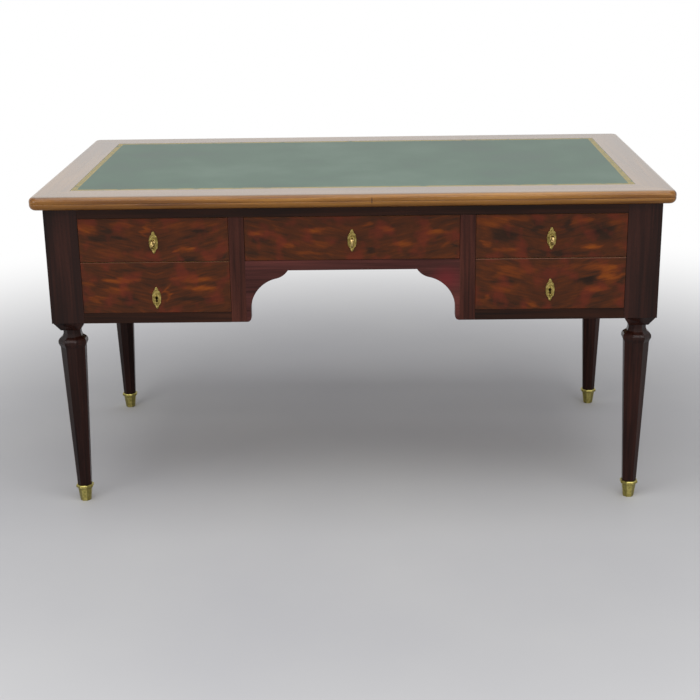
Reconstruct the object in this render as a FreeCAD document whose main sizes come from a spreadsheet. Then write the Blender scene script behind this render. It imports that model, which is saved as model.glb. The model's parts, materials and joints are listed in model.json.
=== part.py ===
import FreeCAD, Part
import math
import os
import Sketcher

# A flat-topped writing desk with a leather top, five locking drawers and an arched kneehole.
# Frame: millimetres, X to the right, Y to the back, Z up, origin on the floor under the middle of the top.

SIZES = {
    # Top: mitred moulded frame, panel and leather
    "top_width": 1440.0,
    "top_depth": 800.0,
    "desk_height": 760.0,
    "top_thickness": 30.0,
    "frame_width": 80.0,
    "top_corner_radius": 18.0,
    "edge_lower_height": 15.5,
    "edge_upper_radius": 11.0,
    "edge_lower_radius": 12.0,
    "edge_quirk": 3.0,
    "core_thickness": 22.0,
    "core_tongue": 8.0,
    "core_tongue_drop": 8.0,
    "leather_thickness": 1.5,
    "leather_sink": 0.2,
    "panel_gap": 0.2,
    # Case: how far the top stands out, and the heights of what shows in front
    "side_overhang": 24.0,
    "front_overhang": 36.0,
    "case_underside": 458.0,
    "top_rail_height": 26.0,
    "bottom_rail_height": 24.0,
    "rail_depth": 60.0,
    "front_thickness": 22.0,
    "stile_width": 35.0,
    "panel_thickness": 22.0,
    "back_thickness": 20.0,
    "panel_setback": 2.0,
    "cheek_thickness": 22.0,
    "pedestal_opening": 341.0,
    "tenon_length": 12.0,
    "tenon_shoulder": 5.0,
    "tenon_gap": 0.2,
    # Kneehole arch
    "apron_height": 23.0,
    "arch_toe": 10.0,
    "arch_run": 60.0,
    "arch_rise": 74.3,
    "arch_radius": 76.0,
    "arch_shoulder_run": 27.0,
    "arch_shoulder_rise": 19.0,
    "arch_shoulder_radius": 42.0,
    # Legs
    "post_width": 76.0,
    "post_foot_height": 21.0,
    "post_foot_step": 2.0,
    "post_foot_width": 45.0,
    "neck_width": 40.0,
    "neck_height": 10.0,
    "collar_width": 65.0,
    "collar_rise": 13.0,
    "collar_shoulder": 5.0,
    "collar_shoulder_width": 60.0,
    "collar_band": 6.0,
    "collar_fall": 9.0,
    "shaft_top_width": 57.0,
    "shaft_foot_width": 32.0,
    # Brass sabots
    "sabot_height": 42.0,
    "sabot_foot_width": 24.0,
    "sabot_cup_width": 32.0,
    "sabot_lip_width": 40.0,
    "sabot_lip_height": 10.0,
    "sabot_lip_flare": 3.5,
    "sabot_lip_chamfer": 2.0,
    "sabot_seat_depth": 3.0,
    "sabot_floor": 8.0,
    "spigot_foot_width": 19.0,
    "spigot_width": 25.0,
    # Drawers
    "drawer_depth": 560.0,
    "divider_height": 15.0,
    "drawer_split": 602.5,
    "drawer_gap": 0.8,
    "drawer_side": 12.0,
    "drawer_back": 10.0,
    "drawer_bottom": 6.0,
    "bottom_tongue": 5.0,
    "bottom_lift": 8.0,
    "side_drop": 4.0,
    "back_drop": 8.0,
    "tail_length": 15.0,
    "tail_slope": 4.0,
    "running_gap": 0.3,
    # Runners, guides, kickers and stops
    "runner_width": 16.0,
    "guide_height": 20.0,
    "stop_length": 20.0,
    "stop_height": 12.0,
    # Locks, bolts, keys and escutcheons
    "upper_key_drop": 56.0,
    "left_lower_key_drop": 77.0,
    "right_lower_key_drop": 67.0,
    "lock_width": 44.0,
    "lock_depth": 14.0,
    "lock_wall": 2.0,
    "lock_rim": 3.0,
    "lock_foot": 14.5,
    "lock_top_gap": 1.0,
    "bolt_width": 20.0,
    "bolt_thickness": 5.0,
    "bolt_tail_width": 30.0,
    "bolt_throw": 6.0,
    "bolt_play": 0.4,
    "bolt_rest_lift": 4.0,
    "mortise_depth": 9.0,
    "keyhole_radius": 3.2,
    "keyhole_slot": 3.6,
    "keyhole_drop": 10.5,
    "key_radius": 2.6,
    "key_bore_radius": 1.5,
    "key_bore_depth": 12.0,
    "key_pin_radius": 1.2,
    "key_bit_reach": 9.0,
    "key_bit_thickness": 2.6,
    "key_bit_length": 5.5,
    "key_tip_gap": 1.0,
    "key_stand_off": 10.5,
    "bow_width": 21.0,
    "bow_rim": 3.6,
    "bow_thickness": 3.6,
    "plate_height": 52.0,
    "plate_width": 22.0,
    "plate_waist": 17.0,
    "plate_shoulder": 12.0,
    "plate_thickness": 2.4,
    "finial_width": 7.0,
    "finial_neck_width": 3.5,
    "cutter_overrun": 2.0,
}

# Turns in degrees
QUARTER_TURN = 90
HALF_TURN = 180

# Shares of the size that each one multiplies
UPPER_TAIL_SHARES = (0.30, 0.72)
LOWER_TAIL_SHARES = (0.22, 0.50, 0.78)
TAIL_HALF_WIDTH_SHARE = 0.5
CAVETTO_SHARE = 0.45
CAVETTO_WIDTH_SHARE = 0.25
SEAT_RISE_SHARE = 0.02
TOUCH_SHARE = 0.1
SCOOP_SHARE = 1.4

doc = FreeCAD.newDocument("WritingDesk")
sheet = doc.addObject("Spreadsheet::Sheet", "Sizes")
parts = []


class Size:
    """A length that keeps its value and the expression that ties it to the sheet."""

    def __init__(self, value, text):
        self.value = float(value)
        self.text = text

    def __add__(self, other):
        return Size(self.value + number(other), f"({self.text} + {words(other)})")

    def __radd__(self, other):
        return Size(number(other) + self.value, f"({words(other)} + {self.text})")

    def __sub__(self, other):
        return Size(self.value - number(other), f"({self.text} - {words(other)})")

    def __rsub__(self, other):
        return Size(number(other) - self.value, f"({words(other)} - {self.text})")

    def __mul__(self, other):
        return Size(self.value * number(other), f"({self.text} * {words(other)})")

    def __rmul__(self, other):
        return self * other

    def __truediv__(self, other):
        return Size(self.value / number(other), f"({self.text} / {words(other)})")

    def __neg__(self):
        return Size(-self.value, f"(0 - {self.text})")


def number(item):
    """The plain value of a size or a number."""
    return item.value if isinstance(item, Size) else float(item)


def words(item):
    """The expression of a size or a number."""
    return item.text if isinstance(item, Size) else repr(float(item))


class Named:
    """Every size of the sheet, by its name."""


def fill_sheet():
    """Write the driving sizes into the sheet and give each its alias."""
    named = Named()
    for row, (alias, value) in enumerate(SIZES.items(), start=1):
        sheet.set(f"A{row}", alias)
        sheet.set(f"B{row}", str(value))
        sheet.setAlias(f"B{row}", alias)
        setattr(named, alias, Size(value, f"Sizes.{alias}"))
    doc.recompute()
    return named


s = fill_sheet()
ZERO = Size(0, "0")

# Main planes and faces, worked out from the named sizes
TOP_BOTTOM = s.desk_height - s.top_thickness
CASE_HALF = s.top_width / 2 - s.side_overhang
CASE_FRONT = s.front_overhang - s.top_depth / 2
CASE_BACK = -CASE_FRONT
FRONT_BACK = CASE_FRONT + s.front_thickness
POST_INNER = CASE_HALF - s.post_width
POST_REAR = CASE_FRONT + s.post_width
STILE_OUTER = POST_INNER - s.pedestal_opening
STILE_INNER = STILE_OUTER - s.stile_width
CHEEK_INNER = STILE_OUTER - s.cheek_thickness
RAIL_UNDERSIDE = TOP_BOTTOM - s.top_rail_height
LOWER_RUNNER_TOP = s.case_underside + s.bottom_rail_height
UPPER_RUNNER_TOP = s.drawer_split + s.divider_height / 2
DIVIDER_BOTTOM = s.drawer_split - s.divider_height / 2
CENTRE_RUNNER_TOP = s.drawer_split
ARCH_TOP = CENTRE_RUNNER_TOP - s.apron_height
PANEL_OUTER = CASE_HALF - s.panel_setback
PANEL_INNER = PANEL_OUTER - s.panel_thickness
BACK_FACE = CASE_BACK - s.panel_setback
BACK_INNER = BACK_FACE - s.back_thickness
DRAWER_REAR = CASE_FRONT + s.drawer_depth
PEDESTAL_MIDDLE = (STILE_OUTER + POST_INNER) / 2
LEG_X = CASE_HALF - s.post_width / 2
LEG_Y = CASE_BACK - s.post_width / 2
UPPER_KEY = RAIL_UNDERSIDE - s.upper_key_drop
LOWER_KEYS = {
    "left": DIVIDER_BOTTOM - s.left_lower_key_drop,
    "right": DIVIDER_BOTTOM - s.right_lower_key_drop,
}
LOCK_FRONT = FRONT_BACK
LOCK_REAR = LOCK_FRONT + s.lock_depth
BOLT_REAR = LOCK_REAR - s.lock_wall - s.bolt_play * 2
BOLT_FRONT = BOLT_REAR - s.bolt_thickness
SIDES = (("left", -1), ("right", 1))


def tie(item, **sizes):
    """Bind properties of an object to sizes of the sheet."""
    for prop, size in sizes.items():
        item.setExpression(prop, words(size))
    return item


def turn_about(item, axis, angle):
    """Turn an object about an axis through the origin, before it is placed."""
    item.Placement = FreeCAD.Placement(FreeCAD.Vector(), FreeCAD.Rotation(FreeCAD.Vector(*axis), angle))


def place(item, x=ZERO, y=ZERO, z=ZERO):
    """Bind the place of an object to sizes of the sheet."""
    item.setExpression(".Placement.Base.x", words(x))
    item.setExpression(".Placement.Base.y", words(y))
    item.setExpression(".Placement.Base.z", words(z))
    return item


def sub_part(item, label):
    """Mark an object as a finished piece of the desk; its label names its file."""
    item.Label = label
    parts.append(item)
    return item


def block(low, high):
    """A squared board between two corners."""
    box = doc.addObject("Part::Box", "Board")
    tie(box, Length=high[0] - low[0], Width=high[1] - low[1], Height=high[2] - low[2])
    return place(box, *low)


def bar_to_back(radius, length, centre):
    """A round bar that runs to the back from the middle of its front end."""
    bar = doc.addObject("Part::Cylinder", "Bar")
    tie(bar, Radius=radius, Height=length)
    turn_about(bar, (1, 0, 0), -QUARTER_TURN)
    return place(bar, *centre)


def fuse(*items):
    """Join solids into one."""
    joined = doc.addObject("Part::MultiFuse", "Joined")
    joined.Shapes = list(items)
    return joined


def group(*items):
    """Keep solids apart in one node."""
    gathered = doc.addObject("Part::Compound", "Group")
    gathered.Links = list(items)
    return gathered


def cut(base, *tools):
    """Take tools away from a solid."""
    result = doc.addObject("Part::Cut", "Cut")
    result.Base = base
    result.Tool = tools[0] if len(tools) == 1 else fuse(*tools)
    return result


def common(base, tool):
    """Keep what two solids share."""
    result = doc.addObject("Part::Common", "Common")
    result.Base = base
    result.Tool = tool
    return result


def mirror_span(sign, near, far):
    """Two X places on the right side, or the same two mirrored to the left."""
    return (near, far) if sign > 0 else (-far, -near)


def side_block(sign, x_span, y_span, z_span):
    """A board on the right side of the desk, or its mirror image on the left."""
    near, far = mirror_span(sign, *x_span)
    return block((near, y_span[0], z_span[0]), (far, y_span[1], z_span[1]))


def new_body(name):
    """An empty body for sketched features."""
    return doc.addObject("PartDesign::Body", name)


def origin_plane(body, role):
    """One of the body's own origin planes."""
    return next(item for item in body.Origin.OriginFeatures if item.Role == role)


def new_sketch(body, role, offset=ZERO):
    """A sketch on an origin plane of its body, lifted off it by an offset."""
    sketch = body.newObject("Sketcher::SketchObject", "Sketch")
    sketch.AttachmentSupport = (origin_plane(body, role), [""])
    sketch.MapMode = "FlatFace"
    sketch.setExpression(".AttachmentOffset.Base.z", words(offset))
    return sketch


def fix_point(sketch, edge, end, point):
    """Hold the end of an edge at a point whose two sizes are named."""
    for kind, size in zip(("DistanceX", "DistanceY"), point):
        index = sketch.addConstraint(Sketcher.Constraint(kind, edge, end, number(size)))
        sketch.setExpression(f"Constraints[{index}]", words(size))


def arc_between(start, end, radius, turn):
    """An arc from start to end; turn is 1 to the left and -1 to the right."""
    ax, ay = number(start[0]), number(start[1])
    bx, by = number(end[0]), number(end[1])
    half = math.hypot(bx - ax, by - ay) / 2
    rise = math.sqrt(max(number(radius) ** 2 - half ** 2, 0))
    nx, ny = -(by - ay) / (2 * half), (bx - ax) / (2 * half)
    centre = FreeCAD.Vector((ax + bx) / 2 + turn * rise * nx, (ay + by) / 2 + turn * rise * ny, 0)
    first, last = (start, end) if turn > 0 else (end, start)
    angles = [math.atan2(number(p[1]) - centre.y, number(p[0]) - centre.x) for p in (first, last)]
    if angles[1] <= angles[0]:
        angles[1] += 2 * math.pi
    circle = Part.Circle(centre, FreeCAD.Vector(0, 0, 1), number(radius))
    return Part.ArcOfCircle(circle, *angles)


def draw_outline(sketch, steps):
    """A closed outline of (point, radius, turn) steps; radius and turn bend the edge after the point."""
    ends = []
    for index, (point, radius, turn) in enumerate(steps):
        following = steps[(index + 1) % len(steps)][0]
        if radius is None:
            start = FreeCAD.Vector(number(point[0]), number(point[1]), 0)
            end = FreeCAD.Vector(number(following[0]), number(following[1]), 0)
            edge = sketch.addGeometry(Part.LineSegment(start, end), False)
            ends.append((edge, 1, 2))
        else:
            edge = sketch.addGeometry(arc_between(point, following, radius, turn), False)
            ends.append((edge, 1, 2) if turn > 0 else (edge, 2, 1))
            bend = sketch.addConstraint(Sketcher.Constraint("Radius", edge, number(radius)))
            sketch.setExpression(f"Constraints[{bend}]", words(radius))
    for index, (edge, start, end) in enumerate(ends):
        other = ends[(index + 1) % len(ends)]
        sketch.addConstraint(Sketcher.Constraint("Coincident", edge, end, other[0], other[1]))
        fix_point(sketch, edge, start, steps[index][0])


def straight(*points):
    """Outline steps with no bends."""
    return [(point, None, 0) for point in points]


def pad(body, sketch, length):
    """Raise a sketch along its normal."""
    feature = body.newObject("PartDesign::Pad", "Pad")
    feature.Profile = sketch
    return tie(feature, Length=length)


def round_edges(body, base, chosen, radius):
    """Round the edges of the last feature that a test picks."""
    doc.recompute()
    names = [f"Edge{i}" for i, edge in enumerate(base.Shape.Edges, start=1) if chosen(edge)]
    feature = body.newObject("PartDesign::Fillet", "Rounded")
    feature.Base = (base, names)
    return tie(feature, Radius=radius)


def level(edge, height):
    """Does an edge lie flat at this height?"""
    near = number(s.panel_gap * TOUCH_SHARE)
    return all(abs(vertex.Z - number(height)) < near for vertex in edge.Vertexes)


# Top: a frame with a moulded edge, mitred at its corners, round a panel that carries the leather

def rounded_rectangle(half_x, half_y, radius):
    """Outline of a rectangle with rounded corners, counter-clockwise."""
    x, y = half_x - radius, half_y - radius
    return [
        ((-x, -half_y), None, 0), ((x, -half_y), radius, 1),
        ((half_x, -y), None, 0), ((half_x, y), radius, 1),
        ((x, half_y), None, 0), ((-x, half_y), radius, 1),
        ((-half_x, y), None, 0), ((-half_x, -y), radius, 1),
    ]


def moulded_slab():
    """The slab that gives the frame its edge: two rounded beads with a quirk between them."""
    body = new_body("MouldedSlab")
    half_x, half_y = s.top_width / 2, s.top_depth / 2
    lower = new_sketch(body, "XY_Plane")
    draw_outline(lower, rounded_rectangle(half_x, half_y, s.top_corner_radius))
    base = pad(body, lower, s.edge_lower_height)
    base = round_edges(body, base, lambda edge: level(edge, ZERO), s.edge_lower_radius)
    base = round_edges(body, base, lambda edge: level(edge, s.edge_lower_height), s.edge_quirk)
    upper = new_sketch(body, "XY_Plane", s.edge_lower_height)
    draw_outline(upper, rounded_rectangle(half_x, half_y, s.top_corner_radius))
    base = pad(body, upper, s.top_thickness - s.edge_lower_height)
    base = round_edges(body, base, lambda edge: level(edge, s.top_thickness), s.edge_upper_radius)
    body.Tip = base
    return place(body, ZERO, ZERO, TOP_BOTTOM)


def inner_half():
    """Half width and half depth of the opening in the frame."""
    return s.top_width / 2 - s.frame_width, s.top_depth / 2 - s.frame_width


def core_blocks(gap):
    """The panel and its tongue, drawn in on every side by a gap."""
    half_x, half_y = inner_half()
    top = s.desk_height - s.leather_sink - s.leather_thickness
    reach = s.core_tongue - gap
    tongue_top = top - s.core_tongue_drop - gap
    tongue_low = tongue_top - s.core_tongue + gap * 2
    panel_low = (gap - half_x, gap - half_y, top - s.core_thickness)
    panel = block(panel_low, (half_x - gap, half_y - gap, top))
    tongue_corner = (-half_x - reach, -half_y - reach, tongue_low)
    tongue = block(tongue_corner, (half_x + reach, half_y + reach, tongue_top))
    return panel, tongue


def frame_ring():
    """The moulded slab with its opening and the groove for the panel's tongue."""
    half_x, half_y = inner_half()
    low = TOP_BOTTOM - s.cutter_overrun
    high = s.desk_height + s.cutter_overrun
    opening = block((-half_x, -half_y, low), (half_x, half_y, high))
    groove = core_blocks(ZERO)[1]
    return cut(moulded_slab(), opening, groove)


def mitre_wedge(long_half, near, far, turned):
    """A prism with mitred ends that keeps one member of the frame."""
    wedge = doc.addObject("Part::Wedge", "Mitre")
    reach = s.frame_width
    tie(wedge, Xmin=-long_half, Xmax=long_half, X2min=reach - long_half, X2max=long_half - reach)
    tie(wedge, Ymin=-near, Ymax=far - near, Zmin=-s.cutter_overrun, Z2min=-s.cutter_overrun)
    tie(wedge, Zmax=s.top_thickness + s.cutter_overrun, Z2max=s.top_thickness + s.cutter_overrun)
    turn_about(wedge, (0, 0, 1), turned)
    return wedge


def frame_member(ring, label, turned):
    """One mitred member of the top's frame; turned is its angle about Z from the front."""
    along_x = turned % HALF_TURN == 0
    half_x, half_y = s.top_width / 2, s.top_depth / 2
    long_half, depth_half = (half_x, half_y) if along_x else (half_y, half_x)
    wedge = mitre_wedge(long_half, depth_half, s.frame_width, turned)
    place(wedge, ZERO, ZERO, TOP_BOTTOM)
    return sub_part(common(ring, wedge), label)


def make_top():
    ring = frame_ring()
    for index, label in enumerate(("front", "right", "back", "left")):
        frame_member(ring, f"top_{label}_frame", index * QUARTER_TURN)
    sub_part(fuse(*core_blocks(s.panel_gap)), "top_core_panel")
    half_x, half_y = inner_half()
    top = s.desk_height - s.leather_sink
    low = (s.panel_gap - half_x, s.panel_gap - half_y, top - s.leather_thickness)
    sub_part(block(low, (half_x - s.panel_gap, half_y - s.panel_gap, top)), "writing_leather")


# Legs: a square post with a sloped foot, a neck, an octagonal collar and a tapered octagonal shaft

def square_taper(low_width, high_width, low, high, turned):
    """A square block whose width changes with height, turned about its own upright axis."""
    wedge = doc.addObject("Part::Wedge", "Taper")
    tie(wedge, Xmin=-low_width / 2, Xmax=low_width / 2, Zmin=-low_width / 2, Zmax=low_width / 2)
    tie(wedge, X2min=-high_width / 2, X2max=high_width / 2, Z2min=-high_width / 2, Z2max=high_width / 2)
    tie(wedge, Ymin=ZERO, Ymax=high - low)
    wedge.Placement = FreeCAD.Placement(FreeCAD.Vector(), FreeCAD.Rotation(turned, 0, QUARTER_TURN))
    return place(wedge, ZERO, ZERO, low)


def octagon_taper(low_width, high_width, low, high):
    """An octagonal length of leg: what a square block shares with one turned by half a corner."""
    straight_block = square_taper(low_width, high_width, low, high, 0)
    turned_block = square_taper(low_width, high_width, low, high, QUARTER_TURN / 2)
    return common(straight_block, turned_block)


def shaped_stem():
    """Shaft, flared collar, hollow and neck, from the sabot's seat up to the post."""
    seat = s.sabot_height - s.sabot_seat_depth
    neck_top = s.case_underside - s.post_foot_height
    neck_low = neck_top - s.neck_height
    shoulder = neck_low - s.collar_rise
    band_high = shoulder - s.collar_shoulder
    band_low = band_high - s.collar_band
    shaft_top = band_low - s.collar_fall
    hollow_width = s.neck_width + (s.collar_shoulder_width - s.neck_width) * CAVETTO_WIDTH_SHARE
    hollow = shoulder + s.collar_rise * CAVETTO_SHARE
    return fuse(
        octagon_taper(s.shaft_foot_width, s.shaft_top_width, seat, shaft_top),
        octagon_taper(s.shaft_top_width, s.collar_width, shaft_top, band_low),
        octagon_taper(s.collar_width, s.collar_width, band_low, band_high),
        octagon_taper(s.collar_width, s.collar_shoulder_width, band_high, shoulder),
        octagon_taper(s.collar_shoulder_width, hollow_width, shoulder, hollow),
        octagon_taper(hollow_width, s.neck_width, hollow, neck_low),
        octagon_taper(s.neck_width, s.neck_width, neck_low, neck_top),
    )


def corner_post():
    """The square post, with a foot that slopes in to the neck."""
    half = s.post_width / 2
    foot_low = s.case_underside - s.post_foot_height
    foot_top_width = s.post_width - s.post_foot_step * 2
    foot = square_taper(s.post_foot_width, foot_top_width, foot_low, s.case_underside, 0)
    return fuse(block((-half, -half, s.case_underside), (half, half, TOP_BOTTOM)), foot)


def rail_tenon(sign, x_root, low_z, high_z, out, gap=ZERO):
    """The tenon of a front rail at an X face, or with a gap the mortise that takes it."""
    shoulder = s.tenon_shoulder - gap
    front = CASE_FRONT + shoulder
    back = FRONT_BACK - shoulder
    root, tip = x_root - out * s.cutter_overrun, x_root + out * (s.tenon_length + gap)
    x_span = (root, tip) if out > 0 else (tip, root)
    return side_block(sign, x_span, (front, back), (low_z + shoulder, high_z - shoulder))


def side_tongue(x_sign, y_sign, gap=ZERO):
    """The tongue of a side panel in a corner post, or with a gap its groove."""
    shoulder = s.tenon_shoulder - gap
    root, tip = CASE_BACK - s.post_width, CASE_BACK - s.post_width + s.tenon_length + gap
    y_span = mirror_span(y_sign, root - s.cutter_overrun, tip)
    return side_block(x_sign, (PANEL_INNER + shoulder, PANEL_OUTER - shoulder), y_span,
                      (s.case_underside + shoulder, TOP_BOTTOM - shoulder))


def back_tongue(sign, gap=ZERO):
    """The tongue of the back panel in a rear post, or with a gap its groove."""
    shoulder = s.tenon_shoulder - gap
    x_span = (POST_INNER - s.cutter_overrun, POST_INNER + s.tenon_length + gap)
    return side_block(sign, x_span, (BACK_INNER + shoulder, BACK_FACE - shoulder),
                      (s.case_underside + shoulder, TOP_BOTTOM - shoulder))


def make_leg(x_sign, y_sign):
    """One leg with its post, its spigot and the mortises for the boards that meet it."""
    seat = s.sabot_height - s.sabot_seat_depth
    spigot_foot = s.sabot_floor + s.running_gap
    spigot = octagon_taper(s.spigot_foot_width, s.spigot_width, spigot_foot, seat)
    leg = fuse(corner_post(), shaped_stem(), spigot)
    place(leg, LEG_X * x_sign, LEG_Y * y_sign, ZERO)
    mortises = [side_tongue(x_sign, y_sign, s.tenon_gap)]
    if y_sign > 0:
        mortises.append(back_tongue(x_sign, s.tenon_gap))
    else:
        mortises.append(rail_tenon(x_sign, POST_INNER, RAIL_UNDERSIDE, TOP_BOTTOM, 1, s.tenon_gap))
        mortises.append(rail_tenon(x_sign, POST_INNER, s.case_underside, LOWER_RUNNER_TOP, 1, s.tenon_gap))
    return cut(leg, *mortises)


def make_sabot(x_sign, y_sign):
    """An octagonal brass cup with a flared, chamfered lip and a socket for the leg's spigot."""
    top = s.sabot_height
    lip_low = top - s.sabot_lip_height
    face_low, face_high = lip_low + s.sabot_lip_flare, top - s.sabot_lip_chamfer
    seat = top - s.sabot_seat_depth
    room = s.panel_gap * 2
    cup = fuse(
        octagon_taper(s.sabot_foot_width, s.sabot_cup_width, ZERO, lip_low),
        octagon_taper(s.sabot_cup_width, s.sabot_lip_width, lip_low, face_low),
        octagon_taper(s.sabot_lip_width, s.sabot_lip_width, face_low, face_high),
        octagon_taper(s.sabot_lip_width, s.sabot_lip_width - s.sabot_lip_chamfer * 2, face_high, top),
    )
    socket = octagon_taper(s.spigot_foot_width + room, s.spigot_width + room, s.sabot_floor, seat)
    recess_width = s.shaft_foot_width + (s.shaft_top_width - s.shaft_foot_width) * SEAT_RISE_SHARE + room
    recess = octagon_taper(recess_width, recess_width, seat, top + s.cutter_overrun)
    return place(cut(cup, socket, recess), LEG_X * x_sign, LEG_Y * y_sign, ZERO)


# Case: rails, stiles, apron, panels and the strips that carry the drawers

def arch_steps():
    """The kneehole arch from the right toe over the top to the left toe."""
    foot = s.case_underside
    toe = STILE_INNER - s.arch_toe
    shoulder = toe - s.arch_run
    flat = shoulder - s.arch_shoulder_run
    shoulder_high = ARCH_TOP - s.arch_shoulder_rise
    spring = shoulder_high - s.arch_rise
    right = [
        ((STILE_INNER, foot), s.arch_toe, -1),
        ((toe, foot + s.arch_toe), None, 0),
        ((toe, spring), s.arch_radius, 1),
        ((shoulder, shoulder_high), s.arch_shoulder_radius, -1),
        ((flat, ARCH_TOP), None, 0),
    ]
    left = [
        ((-flat, ARCH_TOP), s.arch_shoulder_radius, -1),
        ((-shoulder, shoulder_high), s.arch_radius, 1),
        ((-toe, spring), None, 0),
        ((-toe, foot + s.arch_toe), s.arch_toe, -1),
        ((-STILE_INNER, foot), None, 0),
    ]
    return right + left


def arched_board(outer_steps, thickness, front):
    """A board with the kneehole arch cut in its lower edge, its face at a place along Y."""
    body = new_body("ArchedBoard")
    sketch = new_sketch(body, "XZ_Plane")
    draw_outline(sketch, arch_steps() + outer_steps)
    body.Tip = pad(body, sketch, thickness)
    return place(body, ZERO, front + thickness, ZERO)


def apron_tenon(sign, gap=ZERO):
    """The apron's tenon in a stile, above the toe of the arch, or with a gap its mortise."""
    return rail_tenon(sign, STILE_INNER, LOWER_RUNNER_TOP, CENTRE_RUNNER_TOP, 1, gap)


def make_apron():
    top = straight((-STILE_INNER, CENTRE_RUNNER_TOP), (STILE_INNER, CENTRE_RUNNER_TOP))
    board = arched_board(top, s.front_thickness, CASE_FRONT)
    return sub_part(fuse(board, apron_tenon(-1), apron_tenon(1)), "kneehole_apron")


def make_back_panel():
    corners = straight((-POST_INNER, s.case_underside), (-POST_INNER, TOP_BOTTOM),
                       (POST_INNER, TOP_BOTTOM), (POST_INNER, s.case_underside))
    board = arched_board(corners, s.back_thickness, BACK_INNER)
    return sub_part(fuse(board, back_tongue(-1), back_tongue(1)), "back_panel")


def bolt_mortise(x, underside):
    """The pocket in a rail that a lock's bolt rises into."""
    half = s.bolt_width / 2 + s.bolt_play * 2
    low = (x - half, BOLT_FRONT - s.bolt_play * 2, underside - s.cutter_overrun)
    high = (x + half, BOLT_REAR + s.bolt_play * 2, underside + s.mortise_depth)
    return block(low, high)


def stile_tenon(sign, gap=ZERO):
    """The stub tenon on top of a stile, or with a gap its mortise in the top rail."""
    shoulder = s.tenon_shoulder - gap
    return side_block(sign, (STILE_INNER + shoulder, STILE_OUTER - shoulder),
                      (CASE_FRONT + shoulder, FRONT_BACK - shoulder),
                      (RAIL_UNDERSIDE - s.cutter_overrun, RAIL_UNDERSIDE + s.tenon_length + gap))


def make_top_rail():
    low = (-POST_INNER, CASE_FRONT, RAIL_UNDERSIDE)
    rail = block(low, (POST_INNER, CASE_FRONT + s.rail_depth, TOP_BOTTOM))
    tenons = [rail_tenon(sign, POST_INNER, RAIL_UNDERSIDE, TOP_BOTTOM, 1) for _, sign in SIDES]
    pockets = [stile_tenon(sign, s.tenon_gap) for _, sign in SIDES]
    for x in (-PEDESTAL_MIDDLE, ZERO, PEDESTAL_MIDDLE):
        pockets.append(bolt_mortise(x, RAIL_UNDERSIDE))
    return sub_part(cut(fuse(rail, *tenons), *pockets), "front_top_rail")


def make_dividers():
    """The rails between upper and lower drawers, behind the drawer fronts."""
    rails = []
    front = FRONT_BACK + s.panel_gap * 2
    for _, sign in SIDES:
        rail = side_block(sign, (STILE_OUTER, POST_INNER), (front, POST_REAR),
                          (DIVIDER_BOTTOM, UPPER_RUNNER_TOP))
        rails.append(cut(rail, bolt_mortise(PEDESTAL_MIDDLE * sign, DIVIDER_BOTTOM)))
    return sub_part(group(*rails), "drawer_dividers")


def make_stile(side, sign):
    """The upright between pedestal and kneehole, tenoned into the top rail above it."""
    span = (s.case_underside, RAIL_UNDERSIDE)
    stile = side_block(sign, (STILE_INNER, STILE_OUTER), (CASE_FRONT, FRONT_BACK), span)
    mortises = [
        apron_tenon(sign, s.tenon_gap),
        rail_tenon(sign, STILE_OUTER, s.case_underside, LOWER_RUNNER_TOP, -1, s.tenon_gap),
    ]
    sub_part(cut(fuse(stile, stile_tenon(sign)), *mortises), f"{side}_front_stile")


def make_bottom_rail(side, sign):
    foot, top = s.case_underside, LOWER_RUNNER_TOP
    rail = side_block(sign, (STILE_OUTER, POST_INNER), (CASE_FRONT, CASE_FRONT + s.rail_depth), (foot, top))
    tenons = (rail_tenon(sign, POST_INNER, foot, top, 1), rail_tenon(sign, STILE_OUTER, foot, top, -1))
    sub_part(fuse(rail, *tenons), f"{side}_bottom_rail")


def make_case_side(side, sign):
    """The outer panel of a pedestal, tongued into both posts, and the cheek beside the kneehole."""
    span = (s.case_underside, TOP_BOTTOM)
    panel = side_block(sign, (PANEL_INNER, PANEL_OUTER), (POST_REAR, -POST_REAR), span)
    sub_part(fuse(panel, side_tongue(sign, -1), side_tongue(sign, 1)), f"{side}_side_panel")
    cheek = side_block(sign, (CHEEK_INNER, STILE_OUTER), (FRONT_BACK, BACK_INNER), span)
    overrun = s.cutter_overrun
    notch = side_block(sign, (CHEEK_INNER - overrun, STILE_OUTER + overrun),
                       (FRONT_BACK - overrun, CASE_FRONT + s.rail_depth),
                       (RAIL_UNDERSIDE, TOP_BOTTOM + overrun))
    sub_part(cut(cheek, notch), f"{side}_cheek")


def pedestal_strips(sign, top, front):
    """Two runners as thick as the rails between drawers, a guide and a stop, at one drawer's height."""
    outer = (POST_REAR, -POST_REAR)
    under = top - s.divider_height
    inner_x = (STILE_OUTER, STILE_OUTER + s.runner_width)
    outer_x = (POST_INNER - s.runner_width, PANEL_INNER)
    stop_y = (DRAWER_REAR + s.running_gap, DRAWER_REAR + s.running_gap + s.stop_length)
    return [
        side_block(sign, inner_x, (front, BACK_INNER), (under, top)),
        side_block(sign, outer_x, outer, (under, top)),
        side_block(sign, (POST_INNER, PANEL_INNER), outer, (top, top + s.guide_height)),
        side_block(sign, inner_x, stop_y, (top, top + s.stop_height)),
    ]


def centre_strips(sign):
    """The runner, guide and stop at one side of the centre drawer."""
    top = CENTRE_RUNNER_TOP
    inner = STILE_INNER - s.runner_width
    stop_y = (DRAWER_REAR + s.running_gap, DRAWER_REAR + s.running_gap + s.stop_length)
    return [
        side_block(sign, (inner, CHEEK_INNER), (FRONT_BACK, BACK_INNER), (top - s.divider_height, top)),
        side_block(sign, (STILE_INNER, CHEEK_INNER), (FRONT_BACK, BACK_INNER), (top, top + s.guide_height)),
        side_block(sign, (inner, STILE_INNER), stop_y, (top, top + s.stop_height)),
    ]


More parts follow.
